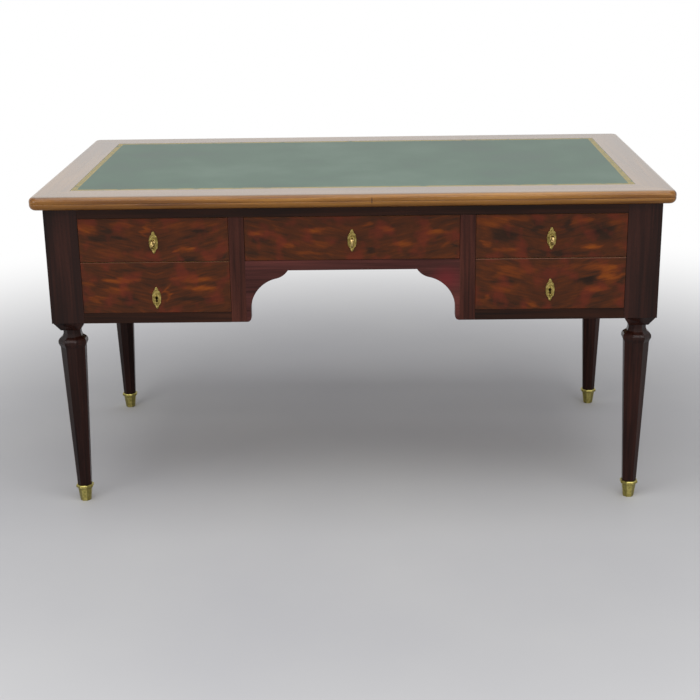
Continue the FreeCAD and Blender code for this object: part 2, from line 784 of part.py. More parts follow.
def kickers(sign):
    """The strips under the top that keep an open drawer level."""
    front = CASE_FRONT + s.rail_depth
    heights = (RAIL_UNDERSIDE, TOP_BOTTOM)
    return [
        side_block(sign, (STILE_OUTER, STILE_OUTER + s.runner_width), (front, BACK_INNER), heights),
        side_block(sign, (POST_INNER - s.runner_width, PANEL_INNER), (POST_REAR, -POST_REAR), heights),
        side_block(sign, (STILE_INNER - s.runner_width, CHEEK_INNER), (front, BACK_INNER), heights),
    ]


def make_runners():
    strips = []
    for _, sign in SIDES:
        strips += pedestal_strips(sign, LOWER_RUNNER_TOP, CASE_FRONT + s.rail_depth)
        strips += pedestal_strips(sign, UPPER_RUNNER_TOP, POST_REAR)
        strips += centre_strips(sign)
        strips += kickers(sign)
    return sub_part(group(*strips), "drawer_runners")


# Drawers: a veneered front, two sides dovetailed into it, a back and a bottom in grooves

class Drawer:
    """Where one drawer stands and how high its pieces are."""

    def __init__(self, name, middle, half_width, front_low, front_high, runner_top, side_top, key, tails):
        self.name = name
        self.middle = middle
        self.half = half_width - s.drawer_gap
        self.front_low = front_low
        self.front_high = front_high
        self.side_low = runner_top + s.running_gap
        self.side_high = side_top
        self.key = key
        self.tails = tails


def drawer_list():
    gap = s.drawer_gap
    front_high = RAIL_UNDERSIDE - gap
    upper_side_top = RAIL_UNDERSIDE - s.side_drop
    lower_side_top = DIVIDER_BOTTOM - gap
    half = s.pedestal_opening / 2
    drawers = []
    for side, sign in SIDES:
        middle = PEDESTAL_MIDDLE * sign
        drawers.append(Drawer(f"{side}_upper_drawer", middle, half, s.drawer_split + gap, front_high,
                              UPPER_RUNNER_TOP, upper_side_top, UPPER_KEY, UPPER_TAIL_SHARES))
        drawers.append(Drawer(f"{side}_lower_drawer", middle, half, LOWER_RUNNER_TOP + gap,
                              s.drawer_split - gap, LOWER_RUNNER_TOP, lower_side_top, LOWER_KEYS[side],
                              LOWER_TAIL_SHARES))
    drawers.append(Drawer("centre_drawer", ZERO, STILE_INNER, CENTRE_RUNNER_TOP + gap, front_high,
                          CENTRE_RUNNER_TOP, upper_side_top, UPPER_KEY, UPPER_TAIL_SHARES))
    return drawers


def dovetail(drawer, sign, share):
    """One tail of a drawer side, which widens towards the front."""
    height = drawer.side_high - drawer.side_low
    middle = drawer.side_low + height * share
    half = height / len(drawer.tails) / 2 * TAIL_HALF_WIDTH_SHARE
    outer = drawer.half
    near, far = mirror_span(sign, outer - s.drawer_side, outer)
    tail = doc.addObject("Part::Wedge", "Tail")
    tie(tail, Xmin=near, Xmax=far, X2min=near, X2max=far)
    tie(tail, Ymin=ZERO, Ymax=s.tail_length)
    tie(tail, Zmin=-half - s.tail_slope, Zmax=half + s.tail_slope, Z2min=-half, Z2max=half)
    return place(tail, drawer.middle, FRONT_BACK - s.tail_length, middle)


def bottom_block(drawer, gap):
    """The drawer's bottom with its tongues, or the grooves that take them."""
    low = drawer.side_low + s.bottom_lift - gap
    reach = drawer.half - s.drawer_side + s.bottom_tongue + gap
    front = FRONT_BACK - s.bottom_tongue - gap
    high = low + s.drawer_bottom + gap * 2
    return block((drawer.middle - reach, front, low), (drawer.middle + reach, DRAWER_REAR, high))


def keyhole(x, z, front, length):
    """The cutter for a keyhole: a round bore with a slot under it."""
    bore = bar_to_back(s.keyhole_radius, length, (x, front, z))
    half = s.keyhole_slot / 2
    slot = block((x - half, front, z - s.keyhole_drop), (x + half, front + length, z))
    return fuse(bore, slot)


def key_passage(x, z, front, length):
    """The cutter for the squared passage behind the escutcheon, which clears the key all round."""
    half = s.keyhole_radius
    return block((x - half, front, z - s.keyhole_drop), (x + half, front + length, z + half))


def make_drawer_front(drawer):
    low = (drawer.middle - drawer.half, CASE_FRONT, drawer.front_low)
    board = block(low, (drawer.middle + drawer.half, FRONT_BACK, drawer.front_high))
    tools = [dovetail(drawer, sign, share) for _, sign in SIDES for share in drawer.tails]
    tools.append(bottom_block(drawer, s.panel_gap))
    front = CASE_FRONT - s.cutter_overrun
    tools.append(key_passage(drawer.middle, drawer.key, front, s.front_thickness + s.cutter_overrun * 2))
    sub_part(cut(board, *tools), f"{drawer.name}_front")


def make_drawer_box(drawer):
    boards = []
    for _, sign in SIDES:
        near, far = mirror_span(sign, drawer.half - s.drawer_side, drawer.half)
        low = (drawer.middle + near, FRONT_BACK, drawer.side_low)
        side = block(low, (drawer.middle + far, DRAWER_REAR, drawer.side_high))
        tails = [dovetail(drawer, sign, share) for share in drawer.tails]
        boards.append(cut(fuse(side, *tails), bottom_block(drawer, s.panel_gap)))
    inner = drawer.half - s.drawer_side
    back_low = drawer.side_low + s.bottom_lift + s.drawer_bottom
    low = (drawer.middle - inner, DRAWER_REAR - s.drawer_back, back_low)
    boards.append(block(low, (drawer.middle + inner, DRAWER_REAR, drawer.side_high - s.back_drop)))
    sub_part(group(*boards), f"{drawer.name}_box")
    sub_part(bottom_block(drawer, ZERO), f"{drawer.name}_bottom")


# Locks: a sheet-iron case on the back of each front, a rising bolt, and a pipe key in the upper locks

def lock_top(drawer):
    """The height of the lock's upper edge, just under the rail above it."""
    return (DIVIDER_BOTTOM if drawer.tails is LOWER_TAIL_SHARES else RAIL_UNDERSIDE) - s.lock_top_gap


def bolt_shoulder(drawer):
    """The height at rest of the bolt's shoulder, a throw below the top of the hollow."""
    return lock_top(drawer) - s.lock_rim - s.bolt_throw - s.bolt_play * 2


def bolt_block(drawer, gap):
    """The head of the bolt, or the slot that it slides in."""
    half = s.bolt_width / 2 + gap
    top = lock_top(drawer)
    low = (drawer.middle - half, BOLT_FRONT - gap, bolt_shoulder(drawer))
    return block(low, (drawer.middle + half, BOLT_REAR + gap, top + gap))


def make_lock(drawer):
    half = s.lock_width / 2
    top = lock_top(drawer)
    foot = drawer.key - s.lock_foot
    shell = block((drawer.middle - half, LOCK_FRONT, foot), (drawer.middle + half, LOCK_REAR, top))
    hollow_low = (drawer.middle - half + s.lock_rim, LOCK_FRONT + s.lock_wall, foot + s.lock_rim)
    hollow_high = (drawer.middle + half - s.lock_rim, LOCK_REAR - s.lock_wall, top - s.lock_rim)
    hollow = block(hollow_low, hollow_high)
    hole_length = s.lock_wall + s.cutter_overrun * 2
    hole = key_passage(drawer.middle, drawer.key, LOCK_FRONT - s.cutter_overrun, hole_length)
    case = cut(shell, hollow, hole, bolt_block(drawer, s.bolt_play))
    pin_front = LOCK_FRONT + s.lock_wall
    pin_length = LOCK_REAR - s.lock_wall - pin_front
    pin = bar_to_back(s.key_pin_radius, pin_length, (drawer.middle, pin_front, drawer.key))
    sub_part(fuse(case, pin), f"{drawer.name}_lock_case")


def make_bolt(drawer):
    """The bolt: a head that rises through the case and a wide tail that the key lifts."""
    head = bolt_block(drawer, ZERO)
    half = s.bolt_tail_width / 2
    low = (drawer.middle - half, BOLT_FRONT, drawer.key + s.bolt_rest_lift)
    tail = block(low, (drawer.middle + half, BOLT_REAR, bolt_shoulder(drawer)))
    sub_part(fuse(head, tail), f"{drawer.name}_lock_bolt")


def plate_steps():
    """The escutcheon's outline: a narrow waist, pointed shoulders, scoops and a finial at each end."""
    shoulder, shoulder_z = s.plate_width / 2, s.plate_shoulder
    neck, finial, tip = s.finial_neck_width / 2, s.finial_width / 2, s.plate_height / 2
    finial_z = tip - s.finial_width / 2
    neck_z = tip - s.finial_width
    waist = s.plate_waist / 2
    scoop = (neck_z - shoulder_z) * SCOOP_SHARE
    return [
        ((neck, -neck_z), scoop, -1),
        ((shoulder, -shoulder_z), None, 0),
        ((waist, ZERO), None, 0),
        ((shoulder, shoulder_z), scoop, -1),
        ((neck, neck_z), None, 0),
        ((finial, finial_z), None, 0),
        ((ZERO, tip), None, 0),
        ((-finial, finial_z), None, 0),
        ((-neck, neck_z), scoop, -1),
        ((-shoulder, shoulder_z), None, 0),
        ((-waist, ZERO), None, 0),
        ((-shoulder, -shoulder_z), scoop, -1),
        ((-neck, -neck_z), None, 0),
        ((-finial, -finial_z), None, 0),
        ((ZERO, -tip), None, 0),
        ((finial, -finial_z), None, 0),
    ]


def make_escutcheon(drawer):
    body = new_body("Escutcheon")
    plate = new_sketch(body, "XZ_Plane")
    draw_outline(plate, plate_steps())
    body.Tip = pad(body, plate, s.plate_thickness)
    place(body, drawer.middle, CASE_FRONT, drawer.key)
    front = CASE_FRONT - s.plate_thickness - s.cutter_overrun
    hole = keyhole(drawer.middle, drawer.key, front, s.plate_thickness + s.cutter_overrun * 2)
    sub_part(cut(body, hole), f"{drawer.name}_escutcheon")


def make_bow(x, middle_y, z):
    """The key's ring, a flat band upright in the plane of the bit."""
    outer = doc.addObject("Part::Cylinder", "BowOutside")
    tie(outer, Radius=s.bow_width / 2, Height=s.bow_thickness)
    inner = doc.addObject("Part::Cylinder", "BowInside")
    tie(inner, Radius=s.bow_width / 2 - s.bow_rim, Height=s.bow_thickness + s.cutter_overrun * 2)
    for disc, lead in ((outer, ZERO), (inner, s.cutter_overrun)):
        turn_about(disc, (0, 1, 0), QUARTER_TURN)
        place(disc, x - s.bow_thickness / 2 - lead, middle_y, z)
    return cut(outer, inner)


def key_disc(drawer, radius, front, length):
    """A round part of the key, turned about its own axis."""
    return bar_to_back(radius, length, (drawer.middle, front, drawer.key))


def make_key(drawer):
    """A pipe key: a ring bow, a bored shank and a flat bit that points down."""
    bow_rear = CASE_FRONT - s.key_stand_off
    tip = LOCK_REAR - s.lock_wall - s.key_tip_gap
    start = bow_rear - s.bow_rim / 2
    bit_rear = tip - s.key_tip_gap
    half = s.key_bit_thickness / 2
    bit_low = (drawer.middle - half, bit_rear - s.key_bit_length, drawer.key - s.key_bit_reach)
    solids = [
        make_bow(drawer.middle, bow_rear - s.bow_width / 2, drawer.key),
        key_disc(drawer, s.key_radius, start, tip - start),
        block(bit_low, (drawer.middle + half, bit_rear, drawer.key)),
    ]
    bore = key_disc(drawer, s.key_bore_radius, tip - s.key_bore_depth, s.key_bore_depth + s.cutter_overrun)
    sub_part(cut(fuse(*solids), bore), f"{drawer.name}_key")


def build():
    make_top()
    for y_name, y_sign in (("front", -1), ("back", 1)):
        for x_name, x_sign in SIDES:
            corner = f"{y_name}_{x_name}"
            sub_part(make_leg(x_sign, y_sign), f"{corner}_leg")
            sub_part(make_sabot(x_sign, y_sign), f"{corner}_sabot")
    make_top_rail()
    make_apron()
    make_back_panel()
    make_dividers()
    make_runners()
    for side, sign in SIDES:
        make_stile(side, sign)
        make_bottom_rail(side, sign)
        make_case_side(side, sign)
    for drawer in drawer_list():
        make_drawer_front(drawer)
        make_drawer_box(drawer)
        make_lock(drawer)
        make_bolt(drawer)
        make_escutcheon(drawer)
        if drawer.key is UPPER_KEY:
            make_key(drawer)


def check_and_write():
    """Stop on any failed object or bad shape, then write each piece to its own file."""
    doc.recompute()
    for item in doc.Objects:
        if any(word in item.State for word in ("Invalid", "Error")):
            raise RuntimeError(f"{item.Name} failed: {item.State}")
    for item in parts:
        if item.Shape.isNull() or not item.Shape.isValid():
            raise RuntimeError(f"{item.Label} has a bad shape")
    os.makedirs("parts", exist_ok=True)
    for item in parts:
        item.Shape.exportStep(f"parts/{item.Label}.step")
        print(item.Label, len(item.Shape.Solids), round(item.Shape.Volume / 1000, 1), "cm3")
    print(len(parts), "pieces")


build()
check_and_write()
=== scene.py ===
# %% [markdown]
# A neoclassical writing desk in mahogany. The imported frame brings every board, leg, drawer and lock
# at its real size. This script gives each of them its finish and adds the small brass work, then
# sets a plain studio and the camera of the photograph around them.

# %% Load the frame
import json
import math

import bmesh
import bpy
from mathutils import Matrix, Vector

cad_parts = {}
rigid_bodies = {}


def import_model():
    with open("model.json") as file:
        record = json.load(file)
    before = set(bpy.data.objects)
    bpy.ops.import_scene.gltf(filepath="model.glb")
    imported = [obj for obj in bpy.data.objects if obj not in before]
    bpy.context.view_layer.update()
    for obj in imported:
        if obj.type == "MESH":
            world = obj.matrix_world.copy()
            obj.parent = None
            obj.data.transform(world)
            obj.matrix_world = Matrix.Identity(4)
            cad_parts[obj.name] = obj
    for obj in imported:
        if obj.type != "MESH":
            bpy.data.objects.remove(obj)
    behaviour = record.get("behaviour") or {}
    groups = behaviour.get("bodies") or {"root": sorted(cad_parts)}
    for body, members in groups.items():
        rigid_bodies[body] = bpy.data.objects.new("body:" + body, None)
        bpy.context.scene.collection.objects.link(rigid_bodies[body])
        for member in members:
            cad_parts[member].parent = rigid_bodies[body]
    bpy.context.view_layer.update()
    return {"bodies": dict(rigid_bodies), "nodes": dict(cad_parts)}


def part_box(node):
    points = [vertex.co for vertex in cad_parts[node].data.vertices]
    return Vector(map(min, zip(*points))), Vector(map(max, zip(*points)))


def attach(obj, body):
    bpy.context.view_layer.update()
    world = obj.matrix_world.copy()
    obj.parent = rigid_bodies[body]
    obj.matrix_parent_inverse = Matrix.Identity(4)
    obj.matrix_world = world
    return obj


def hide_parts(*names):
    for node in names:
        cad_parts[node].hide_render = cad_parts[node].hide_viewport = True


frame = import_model()
nodes = frame["nodes"]
MM = 0.001

# %% [markdown]
# Colours are picked as sRGB hex, the way a paint program shows them. A renderer counts light, so
# each one is turned to linear values by one function. One more function adds a shader node, sets
# its options and fills its inputs with values, or with links from the nodes before it. A ramp's
# colours come as (place, hex) stops: its first and its last, which a new ramp already has, and then
# those between them.

# %% Colour and node helpers


def colour(hex_text):
    """Linear RGBA of an sRGB hex colour."""
    shares = [int(hex_text[i:i + 2], 16) / 255 for i in (1, 3, 5)]
    linear = [c / 12.92 if c <= 0.04045 else ((c + 0.055) / 1.055) ** 2.4 for c in shares]
    return (*linear, 1.0)


def add(tree, kind, inputs=None, stops=(), **settings):
    """Add a shader node, set its options, and fill its inputs with values or links."""
    made = tree.nodes.new("ShaderNode" + kind)
    for name, value in settings.items():
        setattr(made, name, value)
    for key, value in (inputs or {}).items():
        named = [socket for socket in made.inputs if socket.enabled and socket.name == key]
        socket = named[0] if named else made.inputs[key]
        if isinstance(value, bpy.types.Node):
            value = next(output for output in value.outputs if output.enabled)
        if isinstance(value, bpy.types.NodeSocket):
            tree.links.new(value, socket)
        else:
            socket.default_value = value
    for index, (place, hex_text) in enumerate(stops):
        band = made.color_ramp.elements
        element = band[index] if index < 2 else band.new(place)
        element.position = place
        element.color = colour(hex_text)
    return made


def new_material(name):
    """A material with an empty tree."""
    material = bpy.data.materials.new(name)
    material.use_nodes = True
    material.node_tree.nodes.clear()
    return material, material.node_tree


print("middle grey as light:", round(colour("#808080")[0], 3))

# %% [markdown]
# The camera comes first. Its place and tilt were worked out from the corners of the desk and the
# known shape of the case. It stands 1.37 m high and looks down by 18 degrees. Places are in metres
# and angles in radians.

# %% Camera
PHOTO_PIXELS = 700
FOCAL_PIXELS = 1371.6
SENSOR_MM = 36.0
CAMERA_PLACE = Vector((0.0524, -3.3845, 1.3712))
CAMERA_YAW, CAMERA_PITCH, CAMERA_ROLL = -0.0201, 0.3147, 0.0156

camera_data = bpy.data.cameras.new("photo_camera")
camera_data.sensor_width = SENSOR_MM
camera_data.lens = FOCAL_PIXELS / PHOTO_PIXELS * SENSOR_MM
camera = bpy.data.objects.new("photo_camera", camera_data)
turned = Matrix.Rotation(-CAMERA_YAW, 4, "Z")
facing = turned @ Matrix.Rotation(math.pi / 2 - CAMERA_PITCH, 4, "X")
rolled = Matrix.Rotation(-CAMERA_ROLL, 4, "Z")
camera.matrix_world = Matrix.Translation(CAMERA_PLACE) @ facing @ rolled
bpy.context.scene.collection.objects.link(camera)
bpy.context.scene.camera = camera
print("lens", round(camera_data.lens, 1), "mm")

# %% [markdown]
# The room is a pale floor under a white surround. The surround is plain white where the eye, a
# gloss or a glass looks at it, and a softer level where it only lights the desk. The floor is matt
# grey paint with faint clouds. It turns to the same white a few metres out, so that no edge shows
# from any side.

# %% Room
FLOOR_HALF = 9.0
POOL_INNER, POOL_OUTER = 0.9, 2.6
FLOOR_CLOUD_MM = 769.2
FLOOR_GREYS = [(0.3, "#acacae"), (0.7, "#b3b3b3")]
SKY, SKY_LEVEL = "#fbfbff", 0.62
WHITE = "#ffffff"

scene = bpy.context.scene
scene.view_settings.view_transform = "Standard"


def put(name, data, place=(0, 0, 0)):
    """A new object in the scene, at a place."""
    item = bpy.data.objects.new(name, data)
    item.location = place
    scene.collection.objects.link(item)
    return item


def seen_rays(tree):
    """1 for a ray that the eye, a gloss or a glass sends, and 0 for one that only carries light."""
    path = add(tree, "LightPath").outputs
    seen = add(tree, "Math", {0: path["Is Camera Ray"], 1: path["Is Glossy Ray"]},
               operation="MAXIMUM")
    return add(tree, "Math", {0: seen, 1: path["Is Transmission Ray"]}, operation="MAXIMUM")


def make_surround():
    """White all round for what is seen, and a softer light for what is lit."""
    world = bpy.data.worlds.new("white_surround")
    scene.world = world
    world.use_nodes = True
    tree = world.node_tree
    tree.nodes.clear()
    light = add(tree, "Background", {"Color": colour(SKY), "Strength": SKY_LEVEL})
    white = add(tree, "Background", {"Color": colour(WHITE), "Strength": 1.0})
    both = add(tree, "MixShader", {0: seen_rays(tree), 1: light, 2: white})
    add(tree, "OutputWorld", {"Surface": both})


def floor_paint():
    """Matt grey paint near the desk, and plain white further out."""
    material, tree = new_material("painted_floor")
    point = add(tree, "TexCoord").outputs["Object"]
    cloud = add(tree, "TexNoise", {
        "Vector": point, "Scale": 1 / (FLOOR_CLOUD_MM * MM), "Detail": 4.0,
    })
    grey = add(tree, "ValToRGB", {"Fac": cloud}, stops=FLOOR_GREYS)
    paint = add(tree, "BsdfPrincipled", {
        "Base Color": grey, "Roughness": 0.75, "Specular IOR Level": 0.2,
    })
    white = add(tree, "Emission", {"Color": colour(WHITE), "Strength": 1.0})
    reach = add(tree, "VectorMath", {0: point}, operation="LENGTH")
    far = add(tree, "MapRange", {"Value": reach, "From Min": POOL_INNER, "From Max": POOL_OUTER},
              interpolation_type="SMOOTHSTEP")
    share = add(tree, "Math", {0: far, 1: seen_rays(tree)}, operation="MULTIPLY")
    both = add(tree, "MixShader", {0: share, 1: paint, 2: white})
    add(tree, "OutputMaterial", {"Surface": both})
    return material


def make_floor():
    """One large square under the desk."""
    mesh = bpy.data.meshes.new("floor")
    corners = [(x * FLOOR_HALF, y * FLOOR_HALF, 0) for x, y in ((-1, -1), (1, -1), (1, 1), (-1, 1))]
    mesh.from_pydata(corners, [], [(0, 1, 2, 3)])
    mesh.materials.append(floor_paint())
    floor = put("floor", mesh)


make_surround()
make_floor()
print("floor:", 2 * FLOOR_HALF, "m across")

# %% [markdown]
# Soft studio light: one wide panel overhead and a little in front, and a weaker one at each side of
# the camera to open the shadows under the top. A narrow tube under the ceiling, behind the camera,
# draws bright lines on the collars and on the brass feet. The polished top mirrors the white
# surround behind it, as it mirrors a pale wall in the photograph. Each lamp is a name, a place and
# a size in metres, and a power in watts.

# %% Lamps
LAMPS = (
    ("ceiling_panel", (0.0, -0.9, 2.9), (3.2, 2.2), 53.0),
    ("ceiling_tube", (0.0, -3.6, 2.85), (4.0, 0.2), 28.0),
    ("left_panel", (-2.6, -3.0, 1.7), (1.6, 1.6), 20.0),
    ("right_panel", (2.8, -2.8, 1.5), (1.6, 1.6), 11.0),
)
LAMP_AIM = Vector((0, 0, 0.5))


def make_lamp(name, place, size, watts):
    """A flat lamp that faces the middle of the desk."""
    data = bpy.data.lights.new(name, "AREA")
    data.shape = "RECTANGLE"
    data.size, data.size_y = size
    data.energy = watts
    lamp = put(name, data, place)
    lamp.rotation_euler = (LAMP_AIM - Vector(place)).to_track_quat("-Z", "Y").to_euler()


for lamp in LAMPS:
    make_lamp(*lamp)
print("lamps:", len(LAMPS))

# %% [markdown]
# Mahogany has straight streaks a few millimetres wide and short dark pores. Both are noise that is
# stretched along the grain, and a slower noise drifts under the streaks. The real pores are 0.2 mm
# wide, too fine to show here, so they are drawn 0.7 mm wide.

# %% Straight grain
STREAK_MM, STREAK_LENGTH_MM = 7.0, 260.0
DRIFT_MM, DRIFT_LENGTH_MM = 60.0, 500.0
PORE_MM, PORE_LENGTH_MM = 0.7, 11.0
PORE_RIM, PORE_HEART = 0.6, 0.7


def grain_space(tree, across_mm, along_mm, along, shift):
    """Object space in which one unit is across_mm wide, and along_mm long down the grain."""
    point = add(tree, "TexCoord").outputs["Object"]
    scale = [1 / (MM * (along_mm if axis == along else across_mm)) for axis in "XYZ"]
    return add(tree, "Mapping", {"Vector": point, "Scale": scale, "Location": shift})


def straight_grain(tree, along, shift):
    """Tone from 0 to 1, the mean of drift and streaks, and a mask of the pores."""
    drift_space = grain_space(tree, DRIFT_MM, DRIFT_LENGTH_MM, along, shift)
    drift = add(tree, "TexNoise", {"Vector": drift_space, "Scale": 1.0, "Detail": 2.0})
    streak_space = grain_space(tree, STREAK_MM, STREAK_LENGTH_MM, along, shift)
    streak = add(tree, "TexNoise", {
        "Vector": streak_space, "Scale": 1.0, "Detail": 6.0, "Roughness": 0.62, "Distortion": 0.35,
    })
    half_streak = add(tree, "Math", {0: streak, 1: 0.5}, operation="MULTIPLY")
    tone = add(tree, "Math", {0: drift, 1: 0.5, 2: half_streak}, operation="MULTIPLY_ADD")
    pore_space = grain_space(tree, PORE_MM, PORE_LENGTH_MM, along, shift)
    speck = add(tree, "TexNoise", {"Vector": pore_space, "Scale": 1.0, "Detail": 1.0})
    pore = add(tree, "MapRange", {"Value": speck, "From Min": PORE_RIM, "From Max": PORE_HEART})
    return tone, pore


print("pores drawn", PORE_MM, "mm wide")

# %% [markdown]
# The boards are french polished: many thin coats of shellac rubbed on by hand. The eye gets a dark
# red-brown with a soft gloss, in which the grain is just felt. Old wax and dust fill the pores.

# %% French polish
POLISH_RELIEF, POLISH_DEPTH_MM = 0.12, 0.25
DARK_AT, MIDDLE_AT, LIGHT_AT = 0.36, 0.5, 0.64
DARK_WAX, DARK_WAX_SHARE = "#120806", 0.45


def tone_stops(dark, middle, light):
    """The ramp of a plain mahogany board."""
    return [(DARK_AT, dark), (LIGHT_AT, light), (MIDDLE_AT, middle)]


def filled_pores(tree, wood, pore, wax, share):
    """The wood with a share of wax or dust in its pores."""
    thin_pore = add(tree, "Math", {0: pore, 1: share}, operation="MULTIPLY")
    return add(tree, "Mix", {"Factor": thin_pore, "A": wood, "B": colour(wax)}, data_type="RGBA")


def polished(tree, wood, tone, pore, roughness=0.3, shine=0.12):
    """Finish a tree as wood under thin shellac."""
    relief = add(tree, "Math", {0: tone, 1: pore}, operation="SUBTRACT")
    bump = add(tree, "Bump", {
        "Height": relief, "Strength": POLISH_RELIEF, "Distance": POLISH_DEPTH_MM * MM,
    })
    skin = add(tree, "BsdfPrincipled", {
        "Base Color": wood, "Roughness": roughness, "Normal": bump, "Specular IOR Level": shine,
    })
    add(tree, "OutputMaterial", {"Surface": skin})


def mahogany(name, along, dark, middle, light, shift=(0, 0, 0), **gloss):
    """French-polished mahogany with its grain down one axis."""
    material, tree = new_material(name)
    tone, pore = straight_grain(tree, along, shift)
    wood = add(tree, "ValToRGB", {"Fac": tone}, stops=tone_stops(dark, middle, light))
    filled = filled_pores(tree, wood, pore, DARK_WAX, DARK_WAX_SHARE)
    polished(tree, filled, tone, pore, **gloss)
    return material


print("polish", POLISH_DEPTH_MM, "mm deep over the grain")

# %% [markdown]
# The case was cut from darker boards than the top, and two centuries of wax have darkened it more.
# Posts, stiles and legs have upright grain, rails run across, and the panels at the sides run from
# front to back. The legs are solid timber that hands and knees keep glossy. The apron round the
# kneehole is a redder board, and a soft patch over the right-hand bracket is made redder and lighter
# still. Each board is moved to its own part of the noise by a shift.

# %% Dress the case
CASE_WOOD = ("#170a05", "#2b150b", "#3d1f12")
LEG_WOOD = ("#150907", "#27130e", "#371c15")
STILE_WOOD = ("#2a130d", "#43221a", "#562d22")
APRON_WOOD = ("#2d1512", "#472521", "#5c302b")
RED_PATCH, RED_PATCH_SHARE = "#6c2226", 0.6
RED_PATCH_PLACE = (0.214, -0.36, 0.556)
RED_PATCH_HALF_MM = (36.0, 60.0, 30.0)
RED_PATCH_SOFT = (0.2, 1.2)

upright_mahogany = mahogany("upright_mahogany", "Z", *LEG_WOOD, roughness=0.22, shine=0.14)
level_mahogany = mahogany("level_mahogany", "X", *CASE_WOOD)
side_mahogany = mahogany("side_mahogany", "Y", *CASE_WOOD, shift=(3, 1, 2))
stile_mahogany = mahogany("stile_mahogany", "Z", *STILE_WOOD, shift=(5, 0, 1))


def spot_mask(tree, place, halves_mm, share, soft=(0.7, 1.2)):
    """The share at a place, falling to 0 outside an ellipsoid of the given half sizes."""
    point = add(tree, "TexCoord").outputs["Object"]
    away = add(tree, "VectorMath", {0: point, 1: place}, operation="SUBTRACT")
    shrink = [1 / (half * MM) for half in halves_mm]
    away = add(tree, "VectorMath", {0: away, 1: shrink}, operation="MULTIPLY")
    away = add(tree, "VectorMath", {0: away}, operation="LENGTH")
    return add(tree, "MapRange", {
        "Value": away, "From Min": soft[0], "From Max": soft[1], "To Min": share, "To Max": 0.0,
    })


def apron_mahogany():
    """The redder board of the apron."""
    material, tree = new_material("apron_mahogany")
    tone, pore = straight_grain(tree, "X", (2, 7, 0))
    wood = add(tree, "ValToRGB", {"Fac": tone}, stops=tone_stops(*APRON_WOOD))
    red = spot_mask(tree, RED_PATCH_PLACE, RED_PATCH_HALF_MM, RED_PATCH_SHARE, RED_PATCH_SOFT)
    wood = add(tree, "Mix", {"Factor": red, "A": wood, "B": colour(RED_PATCH)}, data_type="RGBA")
    polished(tree, wood, tone, pore)
    return material


def dress(material, *endings):
    """Give a material to the parts of the frame whose names end so, and count them."""
    meshes = [item.data for name, item in nodes.items() if name.endswith(endings)]
    for mesh in meshes:
        mesh.materials.clear()
        mesh.materials.append(material)
    return len(meshes)


boards = dress(upright_mahogany, "_leg") + dress(stile_mahogany, "_stile")
boards += dress(level_mahogany, "_bottom_rail", "front_top_rail", "back_panel")
boards += dress(side_mahogany, "_side_panel", "_cheek")
boards += dress(apron_mahogany(), "kneehole_apron")
print("mahogany boards:", boards)

# %% [markdown]
# The top's frame gets the most light and wear, and has faded to a honey brown. Its streaks are long
# and strong: yellow, orange and brown side by side. The flat of the frame is paler and greyer than
# the moulded edge. This is partly real fading under the light, and partly a painted sheen: the pale
# room's reflection painted into the colour. Wax fills the grain, so the polish is high and the flat
# mirrors the white room. A small dark repair crosses the front edge, right of the middle.

# %% Faded mahogany of the frame
HONEY_STOPS = [(0.34, "#4a280c"), (0.68, "#a57534"), (0.46, "#6d4210"), (0.56, "#87591d")]
HONEY_WAX, HONEY_WAX_SHARE = "#3a1d0c", 0.35
# Paler grey on the flat: part fading, and part a painted sheen that stands in for the room mirrored
# in it.
FADE_AND_SHEEN, FADE_AND_SHEEN_SHARE = "#837a70", 0.68
FADE_AND_SHEEN_FROM_MM, FADE_AND_SHEEN_TO_MM = 2.2, 0.4
REPAIR, REPAIR_SHARE = "#20140c", 0.85
REPAIR_PLACE = (0.046, -0.4, 0.746)
REPAIR_HALF_MM = (1.3, 30.0, 8.0)


def honey(name, along, shift):
    """Faded mahogany, polished high, paler and greyer on its flat: part fading, part painted sheen.
    """
    material, tree = new_material(name)
    tone, pore = straight_grain(tree, along, shift)
    wood = add(tree, "ValToRGB", {"Fac": tone}, stops=HONEY_STOPS)
    wood = filled_pores(tree, wood, pore, HONEY_WAX, HONEY_WAX_SHARE)
    point = add(tree, "TexCoord").outputs["Object"]
    height = add(tree, "SeparateXYZ", {"Vector": point}).outputs["Z"]
    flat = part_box("top_front_frame")[1][2]
    # Painted sheen, with some fading, on the flat just under the top face.
    fade_and_sheen = add(tree, "MapRange", {
        "Value": height, "From Min": flat - FADE_AND_SHEEN_FROM_MM * MM,
        "From Max": flat - FADE_AND_SHEEN_TO_MM * MM, "To Max": FADE_AND_SHEEN_SHARE,
    })
    wood = add(tree, "Mix", {"Factor": fade_and_sheen, "A": wood, "B": colour(FADE_AND_SHEEN)}, data_type="RGBA")
    mark = spot_mask(tree, REPAIR_PLACE, REPAIR_HALF_MM, REPAIR_SHARE)
    wood = add(tree, "Mix", {"Factor": mark, "A": wood, "B": colour(REPAIR)}, data_type="RGBA")
    polished(tree, wood, tone, pore, roughness=0.2, shine=0.36)
    return material


long_honey = honey("long_faded_mahogany", "X", (0, 0, 0))
short_honey = honey("short_faded_mahogany", "Y", (4, 2, 1))
members = dress(long_honey, "top_front_frame", "top_back_frame")
members += dress(short_honey, "top_left_frame", "top_right_frame")
print("members of the top's frame:", members)

# %% [markdown]
# A border was tooled into the leather with hot brass rolls and gold leaf: two strands that wind
# round a row of dots, between pairs of plain lines. It is worked out from the distance to the
# leather's edge, and from the run along that edge. The real gold lines are 0.5 mm wide, and are
# drawn about a millimetre wide so that they show.

# %% Gilt border
LINE_INSETS_MM = (1.6, 3.2, 10.2, 11.8)
LINE_HALF_MM, STRAND_HALF_MM, DOT_MM = 0.55, 0.6, 0.9
BAND_MIDDLE_MM, STRAND_SWING_MM, STRAND_PITCH_MM = 6.7, 2.0, 10.0
BEYOND_MM = 99.0
GILT_FULL, GILT_GONE = 0.85, 1.15
RUB_MM, RUB_BARE, RUB_KEPT = 26.32, 0.34, 0.46


